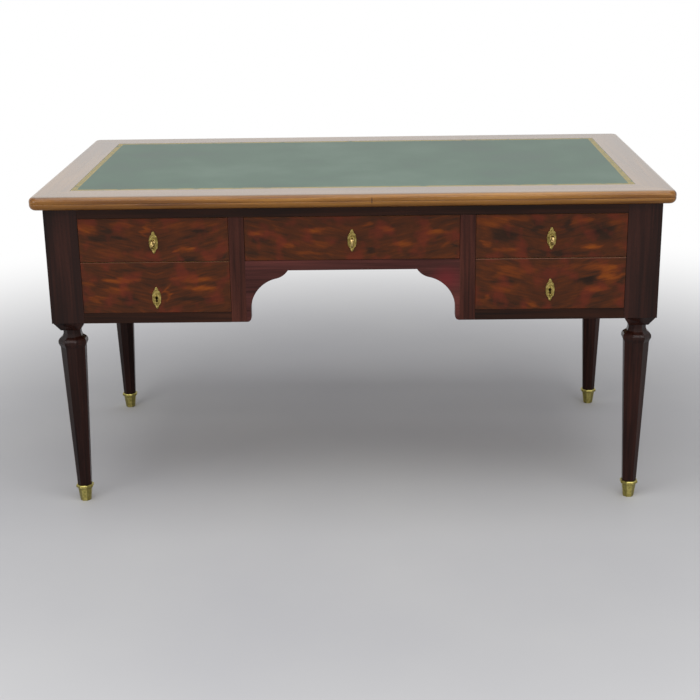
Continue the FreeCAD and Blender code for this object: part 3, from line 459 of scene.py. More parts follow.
def edge_places(tree):
    """How far a point lies in from the leather's edge, and how far along that edge, in mm."""
    low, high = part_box("writing_leather")
    point = add(tree, "TexCoord").outputs["Object"]
    scaled = add(tree, "VectorMath", {0: point, "Scale": 1 / MM}, operation="SCALE")
    axes = add(tree, "SeparateXYZ", {"Vector": scaled}).outputs
    insets = []
    for axis in (0, 1):
        reach = add(tree, "Math", {0: axes[axis]}, operation="ABSOLUTE")
        half = (high[axis] - low[axis]) / 2 / MM
        insets.append(add(tree, "Math", {0: half, 1: reach}, operation="SUBTRACT"))
    inset = add(tree, "Math", {0: insets[0], 1: insets[1]}, operation="MINIMUM")
    at_end = add(tree, "Math", {0: insets[0], 1: insets[1]}, operation="LESS_THAN")
    run = add(tree, "Mix", {"Factor": at_end, "A": axes[0], "B": axes[1]}, data_type="FLOAT")
    return inset, run


def strand_distance(tree, inset, run):
    """Distance to the nearer of the two winding strands, in mm."""
    turn = add(tree, "Math", {0: run, 1: 2 * math.pi / STRAND_PITCH_MM}, operation="MULTIPLY")
    wave = add(tree, "Math", {0: turn}, operation="SINE")
    near = BEYOND_MM
    for swing in (STRAND_SWING_MM, -STRAND_SWING_MM):
        line = add(tree, "Math", {0: wave, 1: swing, 2: BAND_MIDDLE_MM}, operation="MULTIPLY_ADD")
        gap = add(tree, "Math", {0: inset, 1: line}, operation="SUBTRACT")
        gap = add(tree, "Math", {0: gap}, operation="ABSOLUTE")
        near = add(tree, "Math", {0: near, 1: gap}, operation="MINIMUM")
    return near


def dot_distance(tree, inset, run):
    """Distance to the nearest dot of the row, in mm."""
    half_pitch = STRAND_PITCH_MM / 2
    along = add(tree, "Math", {0: run, 1: half_pitch}, operation="FLOORED_MODULO")
    along = add(tree, "Math", {0: along, 1: half_pitch / 2}, operation="SUBTRACT")
    across = add(tree, "Math", {0: inset, 1: BAND_MIDDLE_MM}, operation="SUBTRACT")
    both = add(tree, "CombineXYZ", {"X": along, "Y": across})
    return add(tree, "VectorMath", {0: both}, operation="LENGTH")


def gilt_mask(tree):
    """1 on the gold and 0 on plain leather, worn away in places."""
    inset, run = edge_places(tree)
    strand = strand_distance(tree, inset, run)
    near = add(tree, "Math", {0: strand, 1: STRAND_HALF_MM}, operation="DIVIDE")
    dots = add(tree, "Math", {0: dot_distance(tree, inset, run), 1: DOT_MM}, operation="DIVIDE")
    near = add(tree, "Math", {0: near, 1: dots}, operation="MINIMUM")
    for place in LINE_INSETS_MM:
        gap = add(tree, "Math", {0: inset, 1: place}, operation="SUBTRACT")
        gap = add(tree, "Math", {0: gap}, operation="ABSOLUTE")
        gap = add(tree, "Math", {0: gap, 1: LINE_HALF_MM}, operation="DIVIDE")
        near = add(tree, "Math", {0: near, 1: gap}, operation="MINIMUM")
    gold = add(tree, "MapRange", {
        "Value": near, "From Min": GILT_FULL, "From Max": GILT_GONE, "To Min": 1.0, "To Max": 0.0,
    })
    point = add(tree, "TexCoord").outputs["Object"]
    rub = add(tree, "TexNoise", {
        "Vector": point, "Scale": 1 / (RUB_MM * MM), "Detail": 4.0, "Roughness": 0.7,
    })
    kept = add(tree, "MapRange", {"Value": rub, "From Min": RUB_BARE, "From Max": RUB_KEPT})
    return add(tree, "Math", {0: gold, 1: kept}, operation="MULTIPLY")


print("gilt lines:", len(LINE_INSETS_MM), "and two strands")

# %% [markdown]
# The writing surface is skiver: the thin, smooth outer half of a sheepskin, dyed green and glued
# down. Years of sleeves have clouded it. Its fine cells are pressed flat where the gold lies.

# %% Tooled leather
LEATHER_GREENS = [(0.32, "#2f4439"), (0.7, "#56685c"), (0.5, "#415749")]
LEATHER_CLOUD_MM = 222.2
LEATHER_ROUGHNESS = (0.42, 0.55)
GRAIN_MM, GRAIN_RELIEF, GRAIN_DEPTH_MM = 1.4, 0.25, 0.15
GOLD_LEAF, GOLD_METAL = "#b59a52", 0.75


def tooled_leather():
    """Clouded green leather with its gilt border."""
    material, tree = new_material("tooled_skiver")
    point = add(tree, "TexCoord").outputs["Object"]
    cloud = add(tree, "TexNoise", {
        "Vector": point, "Scale": 1 / (LEATHER_CLOUD_MM * MM), "Detail": 5.0, "Roughness": 0.6,
    })
    green = add(tree, "ValToRGB", {"Fac": cloud}, stops=LEATHER_GREENS)
    gold = gilt_mask(tree)
    skin = add(tree, "Mix", {"Factor": gold, "A": green, "B": colour(GOLD_LEAF)}, data_type="RGBA")
    cells = add(tree, "TexVoronoi", {"Vector": point, "Scale": 1 / (GRAIN_MM * MM)})
    pressed = add(tree, "Math", {0: cells.outputs["Distance"], 1: gold}, operation="SUBTRACT")
    bump = add(tree, "Bump", {
        "Height": pressed, "Strength": GRAIN_RELIEF, "Distance": GRAIN_DEPTH_MM * MM,
    })
    metal = add(tree, "Math", {0: gold, 1: GOLD_METAL}, operation="MULTIPLY")
    rough = add(tree, "MapRange", {
        "Value": cloud, "From Min": 0.3, "From Max": 0.7,
        "To Min": LEATHER_ROUGHNESS[0], "To Max": LEATHER_ROUGHNESS[1],
    })
    surface = add(tree, "BsdfPrincipled", {
        "Base Color": skin, "Metallic": metal, "Roughness": rough, "Normal": bump,
        "Specular IOR Level": 0.4,
    })
    add(tree, "OutputMaterial", {"Surface": surface})
    return material


print("leathers:", dress(tooled_leather(), "writing_leather"))

# %% [markdown]
# The drawer fronts carry crotch mahogany: veneer sawn where the trunk forks, so that the grain
# bursts into flames. Its broad light and dark plumes differ from side to side, as the sheets were
# cut, faded and repaired. So each drawer gets its own few plumes, listed in millimetres from the
# keyhole: across, up, half width, half height, and how much lighter or darker.

# %% Plumes of the drawers
PLUMES = {
    "left_upper_drawer": [
        (-153, 34, 24, 15, 0.24), (-70, 43, 26, 9, 0.2), (-15, 29, 12, 17, 0.2),
        (88, 41, 80, 11, 0.15), (-114, 10, 62, 8, -0.16), (-94, 27, 22, 7, -0.06),
        (-102, -23, 44, 14, 0.1), (105, 25, 30, 4, -0.13), (98, 9, 34, 7, -0.06),
        (73, -16, 24, 7, 0.32), (73, -40, 22, 10, -0.17), (119, -44, 17, 14, 0.1),
        (151, -39, 14, 13, -0.16),
    ],
    "left_lower_drawer": [
        (-78, 42, 50, 7, 0.28), (-86, 19, 28, 9, 0.22), (-152, 35, 14, 14, 0.16),
        (-137, -2, 20, 10, 0.2), (92, 44, 66, 9, 0.22), (104, 21, 42, 8, 0.26),
        (26, 12, 8, 24, 0.18), (92, -4, 50, 8, -0.16), (-66, -5, 20, 20, -0.12),
        (-175, 0, 10, 40, -0.12), (0, 66, 170, 8, -0.07), (0, -52, 170, 14, -0.04),
    ],
    "centre_drawer": [
        (-84, 24, 29, 9, 0.28), (-50, 25, 18, 10, 0.12), (78, 26, 25, 9, 0.27),
        (35, 37, 13, 5, 0.18), (-74, -7, 28, 11, 0.14), (-213, 18, 18, 8, 0.22),
        (-211, 3, 15, 9, -0.12), (-226, -30, 20, 9, -0.14), (-143, -9, 15, 8, 0.2),
        (-89, -29, 34, 6, 0.12), (40, -24, 21, 9, -0.19), (115, -10, 29, 8, 0.24),
        (119, -31, 28, 6, -0.13), (186, 18, 22, 8, 0.25), (213, -6, 11, 15, 0.1),
        (241, -18, 7, 24, -0.14),
    ],
    "right_upper_drawer": [
        (-133, 38, 46, 14, 0.22), (-82, 47, 40, 8, 0.18), (67, 42, 24, 11, 0.22),
        (154, 38, 26, 12, 0.12), (-105, 8, 37, 17, -0.22), (-34, 27, 16, 18, -0.16),
        (36, 27, 16, 18, -0.14), (115, 12, 39, 20, -0.22), (-145, -12, 13, 10, 0.2),
        (-100, -26, 33, 7, 0.18), (-56, -24, 18, 11, -0.12), (93, -20, 25, 7, 0.32),
        (159, -20, 18, 9, 0.14), (37, -35, 72, 5, -0.12),
    ],
    "right_lower_drawer": [
        (-82, 46, 54, 15, 0.2), (-117, 36, 24, 8, 0.12), (-105, 20, 34, 4, -0.13),
        (-105, 5, 40, 11, 0.14), (-147, -15, 12, 9, 0.2), (-100, -27, 36, 14, -0.09),
        (-13, 46, 12, 18, -0.1), (91, 53, 62, 10, 0.18), (132, 36, 25, 22, 0.32),
        (81, 21, 32, 10, -0.23), (104, 2, 29, 8, 0.26), (166, 24, 9, 24, -0.1),
        (99, -18, 22, 9, -0.12), (-44, -35, 17, 8, 0.2),
    ],
}
print("plumes:", sum(len(plumes) for plumes in PLUMES.values()))

# %% [markdown]
# Two sheets were opened like a book, so the streaks mirror about the keyhole and lean up and out
# from it, in three sizes. A push along the grain breaks the edges of the plumes into tongues.

# %% Streaks and tongues
FLAME_LEAN = math.radians(14)
STREAK_STEPS = ((18.0, 52.0, 0.18), (6.0, 60.0, 0.16), (1.8, 40.0, 0.07))
STREAK_FAINT, STREAK_FULL = 0.28, 0.72
TONGUE_MM, TONGUE_LENGTH_MM, TONGUE_SWING_MM = 12.0, 40.0, 34.0
TONGUE_DOWN, TONGUE_UP = 0.25, 0.75
BASE_TONE = 0.14
PLUME_CORE, PLUME_RIM = 0.3, 1.3


def drawer_point(tree, middle, key_height):
    """Place on a drawer front in mm from its keyhole."""
    point = add(tree, "TexCoord").outputs["Object"]
    moved = add(tree, "VectorMath", {0: point, 1: (middle, 0, key_height)}, operation="SUBTRACT")
    return add(tree, "VectorMath", {0: moved, "Scale": 1 / MM}, operation="SCALE")


def mirrored(tree, point):
    """The same place with left and right folded together."""
    axes = add(tree, "SeparateXYZ", {"Vector": point}).outputs
    side = add(tree, "Math", {0: axes[0]}, operation="ABSOLUTE")
    return add(tree, "CombineXYZ", {"X": side, "Z": axes[2]})


def leaning(tree, folded, across_mm, along_mm, shift):
    """Space of the folded sheet whose first axis runs up and out along the flames."""
    moved = add(tree, "VectorMath", {0: folded, 1: shift}, operation="ADD")
    turned = add(tree, "Mapping", {"Vector": moved, "Rotation": (0, FLAME_LEAN, 0)})
    return add(tree, "Mapping", {"Vector": turned, "Scale": (1 / along_mm, 1, 1 / across_mm)})


def tongued(tree, point, folded, shift):
    """Push a place up and down the flames by a noise."""
    space = leaning(tree, folded, TONGUE_MM, TONGUE_LENGTH_MM, shift)
    noise = add(tree, "TexNoise", {
        "Vector": space, "Scale": 1.0, "Detail": 3.0, "Roughness": 0.42,
    })
    push = add(tree, "MapRange", {
        "Value": noise, "From Min": TONGUE_DOWN, "From Max": TONGUE_UP,
        "To Min": -TONGUE_SWING_MM / 2, "To Max": TONGUE_SWING_MM / 2,
    })
    side = add(tree, "SeparateXYZ", {"Vector": point}).outputs["X"]
    side = add(tree, "Math", {0: side}, operation="SIGN")
    outward = add(tree, "Math", {0: side, 1: math.cos(FLAME_LEAN)}, operation="MULTIPLY")
    heading = add(tree, "CombineXYZ", {"X": outward, "Z": math.sin(FLAME_LEAN)})
    push = add(tree, "VectorMath", {0: heading, "Scale": push}, operation="SCALE")
    return add(tree, "VectorMath", {0: point, 1: push}, operation="ADD")


def flame_tone(tree, middle, key_height, plumes, shift):
    """Tone of the veneer, leaning streaks lifted or sunk by the plumes, and the streaks alone."""
    point = drawer_point(tree, middle, key_height)
    folded = mirrored(tree, point)
    tone = BASE_TONE
    for across_mm, along_mm, weight in STREAK_STEPS:
        space = leaning(tree, folded, across_mm, along_mm, shift)
        streak = add(tree, "TexNoise", {
            "Vector": space, "Scale": 1.0, "Detail": 4.0, "Roughness": 0.5, "Distortion": 0.7,
        })
        part = add(tree, "MapRange", {
            "Value": streak, "From Min": STREAK_FAINT, "From Max": STREAK_FULL,
            "To Min": 0.0, "To Max": weight,
        })
        tone = add(tree, "Math", {0: tone, 1: part}, operation="ADD")
    streaks = tone
    spot = tongued(tree, point, folded, shift)
    for across, up, half_width, half_height, lift in plumes:
        away = add(tree, "VectorMath", {0: spot, 1: (across, 0, up)}, operation="SUBTRACT")
        shrink = (1 / half_width, 0, 1 / half_height)
        away = add(tree, "VectorMath", {0: away, 1: shrink}, operation="MULTIPLY")
        away = add(tree, "VectorMath", {0: away}, operation="LENGTH")
        here = add(tree, "MapRange", {
            "Value": away, "From Min": PLUME_CORE, "From Max": PLUME_RIM,
            "To Min": lift, "To Max": 0.0,
        }, interpolation_type="SMOOTHSTEP")
        tone = add(tree, "Math", {0: tone, 1: here}, operation="ADD")
    return tone, streaks


print("streaks", [step[0] for step in STREAK_STEPS], "mm wide")

# %% [markdown]
# The tone picks a brown, which turns redder in patches a few centimetres wide. A pale line along
# the top arris of the lower fronts is a painted highlight, where the arris catches the light. The
# sheet is 1.2 mm thick on an oak ground, which shows on the board's edges when a drawer is open.
# The polish feels only the streaks, as a plume is a change of colour.

# %% Flame veneer
FLAME_STOPS = [
    (0.0, "#1b0f09"), (1.0, "#a55a1e"), (0.2, "#301c10"), (0.38, "#4a2511"), (0.56, "#663111"),
    (0.78, "#854413"),
]
RED_VENEER, RED_SHARE = "#6a281a", 0.5
RED_AREA_MM, RED_FROM, RED_FULL = 45.45, 0.5, 0.66
# A pale line along the top arris of the lower fronts: a painted highlight.
ARRIS_HIGHLIGHT, ARRIS_HIGHLIGHT_MM, ARRIS_HIGHLIGHT_FADE_MM = "#7d5547", 1.1, 0.4
ARRIS_HIGHLIGHT_SHARES = {"left_lower_drawer": 0.35, "right_lower_drawer": 0.7}
GROUND_STOPS = [(0.35, "#8a6a43"), (0.65, "#b8945f")]
VENEER_BACK = -0.3628
SHEET_SHIFT_ACROSS, SHEET_SHIFT_UP, GROUND_SHIFT = 900, 1300, 9


def veneer_colour(tree, drawer, tone, point):
    """Brown by its tone, redder in patches, and a painted highlight along the top arris."""
    brown = add(tree, "ValToRGB", {"Fac": tone}, stops=FLAME_STOPS)
    patch = add(tree, "TexNoise", {
        "Vector": point, "Scale": 1 / (RED_AREA_MM * MM), "Detail": 2.0,
    })
    redder = add(tree, "MapRange", {
        "Value": patch, "From Min": RED_FROM, "From Max": RED_FULL, "To Max": RED_SHARE,
    })
    flame = add(tree, "Mix", {"Factor": redder, "A": brown, "B": colour(RED_VENEER)},
                data_type="RGBA")
    height = add(tree, "SeparateXYZ", {"Vector": point}).outputs["Z"]
    top_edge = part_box(f"{drawer}_front")[1][2] - ARRIS_HIGHLIGHT_MM * MM
    # The painted highlight along the top arris, strongest on the right-hand bank.
    arris_highlight = add(tree, "MapRange", {
        "Value": height, "From Min": top_edge - ARRIS_HIGHLIGHT_FADE_MM * MM, "From Max": top_edge,
        "To Max": ARRIS_HIGHLIGHT_SHARES.get(drawer, 0.0),
    })
    return add(tree, "Mix", {"Factor": arris_highlight, "A": flame, "B": colour(ARRIS_HIGHLIGHT)}, data_type="RGBA")


def middle_of(low, high):
    """Across and up of the middle of a box."""
    return (low[0] + high[0]) / 2, (low[2] + high[2]) / 2


def flame_veneer(drawer):
    """The front of one drawer: flame veneer, with its oak ground behind."""
    low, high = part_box(f"{drawer}_escutcheon")
    middle, key_height = middle_of(low, high)
    material, tree = new_material(f"{drawer}_flame")
    shift = (middle * SHEET_SHIFT_ACROSS, 0, key_height * SHEET_SHIFT_UP)
    tone, streaks = flame_tone(tree, middle, key_height, PLUMES[drawer], shift)
    point = add(tree, "TexCoord").outputs["Object"]
    flame = veneer_colour(tree, drawer, tone, point)
    ground_tone, pore = straight_grain(tree, "X", (middle * GROUND_SHIFT, 0, 3))
    ground = add(tree, "ValToRGB", {"Fac": ground_tone}, stops=GROUND_STOPS)
    depth = add(tree, "SeparateXYZ", {"Vector": point}).outputs["Y"]
    behind = add(tree, "Math", {0: depth, 1: VENEER_BACK}, operation="GREATER_THAN")
    wood = add(tree, "Mix", {"Factor": behind, "A": flame, "B": ground}, data_type="RGBA")
    polished(tree, wood, streaks, pore)
    return material


print("flame fronts:", sum(dress(flame_veneer(drawer), f"{drawer}_front") for drawer in PLUMES))

# %% [markdown]
# What the desk hides is plain oak, planed and left without polish: drawer sides, backs and bottoms,
# runners, and the panel under the leather. Oak has coarse pores and broad light and dark bands. It
# stays matt, so its roughness is high.

# %% Oak lining
OAK_STOPS = [(0.34, "#80603b"), (0.68, "#c9a673"), (0.5, "#a5814f")]
OAK_DUST, OAK_DUST_SHARE = "#4e3820", 0.6
OAK_RELIEF, OAK_DEPTH_MM = 0.4, 0.3


def oak(name, along, shift):
    """Planed oak with open pores and no polish."""
    material, tree = new_material(name)
    tone, pore = straight_grain(tree, along, shift)
    wood = add(tree, "ValToRGB", {"Fac": tone}, stops=OAK_STOPS)
    open_wood = filled_pores(tree, wood, pore, OAK_DUST, OAK_DUST_SHARE)
    relief = add(tree, "Math", {0: tone, 1: pore}, operation="SUBTRACT")
    bump = add(tree, "Bump", {
        "Height": relief, "Strength": OAK_RELIEF, "Distance": OAK_DEPTH_MM * MM,
    })
    surface = add(tree, "BsdfPrincipled", {
        "Base Color": open_wood, "Roughness": 0.72, "Normal": bump, "Specular IOR Level": 0.35,
    })
    add(tree, "OutputMaterial", {"Surface": surface})
    return material


deep_oak = oak("deep_oak", "Y", (1, 0, 2))
cross_oak = oak("cross_oak", "X", (0, 3, 1))
linings = dress(deep_oak, "_drawer_box", "drawer_runners")
linings += dress(cross_oak, "_drawer_bottom", "drawer_dividers", "top_core_panel")
print("parts in oak:", linings)

# %% [markdown]
# The brass is sand-cast and chased, with a lacquer that has gone olive in the hollows and thin on
# the crowns. The keys are plain polished brass. The locks are iron: filed flat, blued once, now
# grey-brown. All three are metals, so the colour sits in the reflection. A slow noise mixes the
# clean and the tarnished tone and makes the surface a little uneven. The four slanting flats of a
# sabot are painted a darker olive than the four broad flats. This is painted shade, for the darker
# reflections those flats catch.

# %% Metals
TARNISH_MM, TARNISHED_AT, CLEAN_AT = 6.0, 0.36, 0.62
ROUGHNESS_SWING = 0.08
SCRATCH_RELIEF, SCRATCH_DEPTH_MM = 0.08, 0.1
SLANTED, SQUARE = 0.75, 0.92
# Share of the darker colour on a sabot's slanting flats: painted shade.
SLANT_SHADE_SHARE = 0.5


def painted_facet_shade(tree):
    """Painted shade: 0 on flats square to the front, the back or a side, a share on the slanting
    ones.
    """
    facing = add(tree, "TexCoord").outputs["Normal"]
    facing = add(tree, "VectorMath", {0: facing}, operation="ABSOLUTE")
    parts = add(tree, "SeparateXYZ", {"Vector": facing}).outputs
    most = add(tree, "Math", {0: parts["X"], 1: parts["Y"]}, operation="MAXIMUM")
    return add(tree, "MapRange", {
        "Value": most, "From Min": SLANTED, "From Max": SQUARE,
        "To Min": SLANT_SHADE_SHARE, "To Max": 0.0,
    })


def aged_metal(name, dull, bright, roughness, scratch_mm, slant_shade=None):
    """Old metal between its dull and its bright tone, with fine tool marks, and painted shade on
    slanting flats when a colour for it is given.
    """
    material, tree = new_material(name)
    point = add(tree, "TexCoord").outputs["Object"]
    cloud = add(tree, "TexNoise", {
        "Vector": point, "Scale": 1 / (TARNISH_MM * MM), "Detail": 5.0, "Roughness": 0.6,
    })
    skin = add(tree, "ValToRGB", {"Fac": cloud}, stops=[(TARNISHED_AT, dull), (CLEAN_AT, bright)])
    if slant_shade:
        # Painted shade: the darker colour on the slanting flats.
        skin = add(tree, "Mix", {"Factor": painted_facet_shade(tree), "A": skin, "B": colour(slant_shade)},
                   data_type="RGBA")
    uneven = add(tree, "MapRange", {
        "Value": cloud, "From Min": 0.3, "From Max": 0.7,
        "To Min": roughness + ROUGHNESS_SWING, "To Max": roughness - ROUGHNESS_SWING,
    })
    tool = add(tree, "TexNoise", {"Vector": point, "Scale": 1 / (scratch_mm * MM), "Detail": 2.0})
    bump = add(tree, "Bump", {
        "Height": tool, "Strength": SCRATCH_RELIEF, "Distance": SCRATCH_DEPTH_MM * MM,
    })
    surface = add(tree, "BsdfPrincipled", {
        "Base Color": skin, "Metallic": 1.0, "Roughness": uneven, "Normal": bump,
    })
    add(tree, "OutputMaterial", {"Surface": surface})
    return material


# The last colour is the painted shade of a sabot's slanting flats.
cast_brass = aged_metal("cast_brass", "#a39751", "#cfc276", 0.34, 0.8, slant_shade="#5f582b")
chased_brass = aged_metal("chased_brass", "#6a5a2c", "#a8965a", 0.36, 0.8)
key_brass = aged_metal("key_brass", "#867343", "#c6ab76", 0.32, 0.6)
lock_iron = aged_metal("lock_iron", "#3b3733", "#66625c", 0.42, 0.5)
brasses = dress(cast_brass, "_sabot") + dress(chased_brass, "_escutcheon")
brasses += dress(key_brass, "_key")
print("parts in brass:", brasses, "in iron:", dress(lock_iron, "_lock_case", "_lock_bolt"))

# %% [markdown]
# Nothing on a hand-made desk has a perfectly sharp edge. A bevel modifier rounds the edges by half
# a millimetre or so, which is what catches the light along them. A weld before it joins points that
# lie together, so that the bevel finds whole edges. Both only change what is drawn, and the packed
# shapes stay as they are.

# %% Softened edges
EDGE_ROUND_MM = {"wood": 0.7, "metal": 0.45}
EDGE_ANGLE = math.radians(32)
WELD_MM = 0.01
SOFT_METAL = ("_sabot", "_key")
SOFT_BOARDS = ("_front", "_stile", "_rail", "_leg", "_apron", "_side_panel", "back_panel")


def soften(item, width_mm):
    """Round the edges of one part a little."""
    weld = item.modifiers.new("joined_faces", "WELD")
    weld.merge_threshold = WELD_MM * MM
    bevel = item.modifiers.new("worn_edges", "BEVEL")
    bevel.width = width_mm * MM
    bevel.segments = 2
    bevel.limit_method = "ANGLE"
    bevel.angle_limit = EDGE_ANGLE
    bevel.harden_normals = True


for name, item in nodes.items():
    metal = name.endswith(SOFT_METAL)
    if metal or name.endswith(SOFT_BOARDS):
        soften(item, EDGE_ROUND_MM["metal" if metal else "wood"])
print("edges softened")

# %% [markdown]
# Each lock has a cast escutcheon. The real one was cast in sand from a carved pattern: a raised rim
# round the keyhole, a hollow, a swelling body, and a beaded edge. It starts from two outlines: the
# plate's, as a smooth curve through a few points of one quarter, and the keyhole's, a round bore
# with a slot under it. All sizes here are in millimetres.

# %% Escutcheon outlines
HALF_OUTLINE = (
    (0.0, 22.6), (2.4, 21.9), (3.2, 20.4), (3.9, 18.6), (5.2, 17.2), (6.8, 15.4), (8.2, 12.8),
    (9.2, 9.8), (9.8, 6.6), (10.1, 3.3),
)
WIDEST = (10.2, 0.0)
KEYHOLE_RADIUS, KEYHOLE_HALF_SLOT, KEYHOLE_DROP = 3.2, 1.8, 10.5
BORE_STEPS = 40


def smooth_loop(points, parts=5):
    """A closed curve through points. Each stretch of it blends its four nearest points."""
    count = len(points)
    loop = []
    for index in range(count):
        a, b, c, d = (Vector(points[(index + step) % count]) for step in (-1, 0, 1, 2))
        for part in range(parts):
            t = part / parts
            loop.append(0.5 * (2 * b + (c - a) * t + (2 * a - 5 * b + 4 * c - d) * t ** 2
                               + (3 * b - a - 3 * c + d) * t ** 3))
    return loop


def plate_outline():
    """The whole outline, from the right half of its upper part."""
    right_up = list(HALF_OUTLINE) + [WIDEST]
    right_down = [(x, -z) for x, z in reversed(HALF_OUTLINE)]
    right = right_up + right_down
    left = [(-x, z) for x, z in reversed(right[1:-1])]
    return smooth_loop(right + left)


def keyhole_outline():
    """A round bore with a slot under it."""
    start = math.asin(KEYHOLE_HALF_SLOT / KEYHOLE_RADIUS)
    sweep = 2 * math.pi - 2 * start
    turns = [start + sweep * step / BORE_STEPS for step in range(BORE_STEPS + 1)]
    bore = [Vector((-KEYHOLE_RADIUS * math.sin(t), -KEYHOLE_RADIUS * math.cos(t))) for t in turns]
    foot = [Vector((x, -KEYHOLE_DROP)) for x in (KEYHOLE_HALF_SLOT, -KEYHOLE_HALF_SLOT)]
    return bore + foot


print("outline points:", len(plate_outline()))

# %% [markdown]
# A plate like this is easiest as rings of points: one ring follows the keyhole, one the outline,
# and the rings between blend the two while a profile gives their height. The profile's pairs are
# the share of the way out, and the height over the wood.

# %% Escutcheon plate
PLATE_CENTRE = (0.0, -2.5)
PLATE_STEPS = 192
PLATE_PROFILE = (
    (0.0, 0.1), (0.0, 2.1), (0.07, 2.6), (0.16, 2.6), (0.24, 2.0), (0.3, 1.4), (0.42, 1.6),
    (0.56, 1.9), (0.7, 1.75), (0.78, 1.35), (0.84, 1.9), (0.91, 2.15), (0.97, 1.8), (1.0, 1.1),
    (1.0, 0.0),
)
BEAD_COUNT, BEAD_HEIGHT_MM = 48, 0.35
BEADS_FROM, BEADS_TO = 0.83, 0.95
PARALLEL, TOUCHING = 1e-9, 1e-6


def full_turn(steps):
    """The angles of evenly spaced steps round a circle."""
    return [2 * math.pi * step / steps for step in range(steps)]


def reach(loop, direction):
    """How far the loop lies from the plate's centre in a direction."""
    centre = Vector(PLATE_CENTRE)
    best = 0.0
    for start, end in zip(loop, loop[1:] + loop[:1]):
        edge = end - start
        cross = direction.x * edge.y - direction.y * edge.x
        if abs(cross) < PARALLEL:
            continue
        offset = start - centre
        far = (offset.x * edge.y - offset.y * edge.x) / cross
        share = (offset.x * direction.y - offset.y * direction.x) / cross
        if far > 0 and -TOUCHING <= share <= 1 + TOUCHING:
            best = max(best, far)
    return best


def plate_ring(outer, inner, share, height):
    """One ring of the plate, as points across, outward and up."""
    ring = []
    for step, turn in enumerate(full_turn(PLATE_STEPS)):
        direction = Vector((math.cos(turn), math.sin(turn)))
        far = inner[step] + (outer[step] - inner[step]) * share
        beaded = BEADS_FROM < share < BEADS_TO
        bead = BEAD_HEIGHT_MM * math.cos(BEAD_COUNT * turn) if beaded else 0.0
        place = Vector(PLATE_CENTRE) + direction * far
        ring.append((place.x, -(height + bead), place.y))
    return ring


def lay_rings(mesh_points, rings):
    """Join each ring of points to the next with four-sided faces."""
    rows = [[mesh_points.verts.new(Vector(p) * MM) for p in ring] for ring in rings]
    count = len(rings[0])
    for row, following in zip(rows, rows[1:]):
        for i in range(count):
            j = (i + 1) % count
            mesh_points.faces.new((row[i], row[j], following[j], following[i]))
    return rows


print("rings:", len(PLATE_PROFILE), "of", PLATE_STEPS, "points")

# %% [markdown]
# Finials, pins and volutes go on the same piece. A finial is a turned bead squashed against the
# wood, with a smaller bead at its tip. Two round-headed pins hold the plate. At the shoulders the
# edge curls into volutes: tapering coils, laid as small tubes round a spiral. Their sweep is in
# half turns.

# %% Escutcheon trim
FINIAL_BEADS = ((22.9, 3.1, 2.3), (20.0, 4.2, 1.5))
PIN_PLACE, PIN_RADIUS, PIN_THICKNESS = 16.4, 1.2, 2.4
BEAD_STAND = 0.4
VOLUTE_PLACE = (5.9, 12.6)
VOLUTE_STEPS, VOLUTE_SWEEP, VOLUTE_START = 28, 2.4, 0.6
VOLUTE_SIZE, VOLUTE_SHRINK, VOLUTE_STAND = 2.3, 0.8, 1.7
VOLUTE_TUBE, VOLUTE_THINNING = 0.62, 0.25


def squashed_bead(points, x, z, radius, thickness):
    """A round bead, flat against the wood."""
    size = Matrix.Diagonal((radius * MM, thickness * MM, radius * MM, 1))
    where = Matrix.Translation((x * MM, -BEAD_STAND * MM, z * MM)) @ size
    bmesh.ops.create_uvsphere(points, u_segments=20, v_segments=12, radius=1.0, matrix=where)


def volute_path(x_side, z_side):
    """Points of a coil that winds in to its eye, with the tube's radius at each."""
    path = []
    for step in range(VOLUTE_STEPS + 1):
        share = step / VOLUTE_STEPS
        turn = share * VOLUTE_SWEEP * math.pi - VOLUTE_START
        size = VOLUTE_SIZE * (1 - share * VOLUTE_SHRINK)
        x = VOLUTE_PLACE[0] + size * math.cos(turn)
        z = VOLUTE_PLACE[1] + size * math.sin(turn)
        place = Vector((x * x_side, -VOLUTE_STAND, z * z_side))
        path.append((place, VOLUTE_TUBE - VOLUTE_THINNING * share))
    return path


def lay_tube(points, path, sides=8):
    """A round tube along a path in the plate's plane, closed at both ends."""
    outward = Vector((0, 1, 0))
    rings = []
    for index, (place, radius) in enumerate(path):
        before, after = path[max(index - 1, 0)][0], path[min(index + 1, len(path) - 1)][0]
        heading = (after - before).normalized()
        across = heading.cross(outward).normalized()
        rings.append([place + (across * math.cos(t) + outward * math.sin(t)) * radius
                      for t in full_turn(sides)])
    rows = lay_rings(points, rings)
    points.faces.new(reversed(rows[0]))
    points.faces.new(rows[-1])


def finished_mesh(points, name, material, smooth=True):
    """A mesh of the laid points, its faces turned outward and its material on it."""
    bmesh.ops.recalc_face_normals(points, faces=points.faces)
    mesh = bpy.data.meshes.new(name)
    points.to_mesh(mesh)
    points.free()
    if smooth:
        mesh.shade_smooth()
    mesh.materials.append(material)
    return mesh


def escutcheon_mesh():
    """The plate with its finials, pins and volutes."""
    points = bmesh.new()
    outline, hole = plate_outline(), keyhole_outline()
    directions = [Vector((math.cos(t), math.sin(t))) for t in full_turn(PLATE_STEPS)]
    outer = [reach(outline, direction) for direction in directions]
    inner = [reach(hole, direction) for direction in directions]
    lay_rings(points, [plate_ring(outer, inner, share, height) for share, height in PLATE_PROFILE])
    for z_side in (-1, 1):
        for place, radius, thickness in FINIAL_BEADS:
            squashed_bead(points, 0, place * z_side, radius, thickness)
        squashed_bead(points, 0, PIN_PLACE * z_side, PIN_RADIUS, PIN_THICKNESS)
        for x_side in (-1, 1):
            lay_tube(points, volute_path(x_side, z_side))
    return finished_mesh(points, "escutcheon", chased_brass)


plate_mesh = escutcheon_mesh()
print("escutcheon faces:", len(plate_mesh.polygons))

# %% [markdown]
# The five plates share a mesh. Each sits on its drawer front, where it stands for a plain plate.

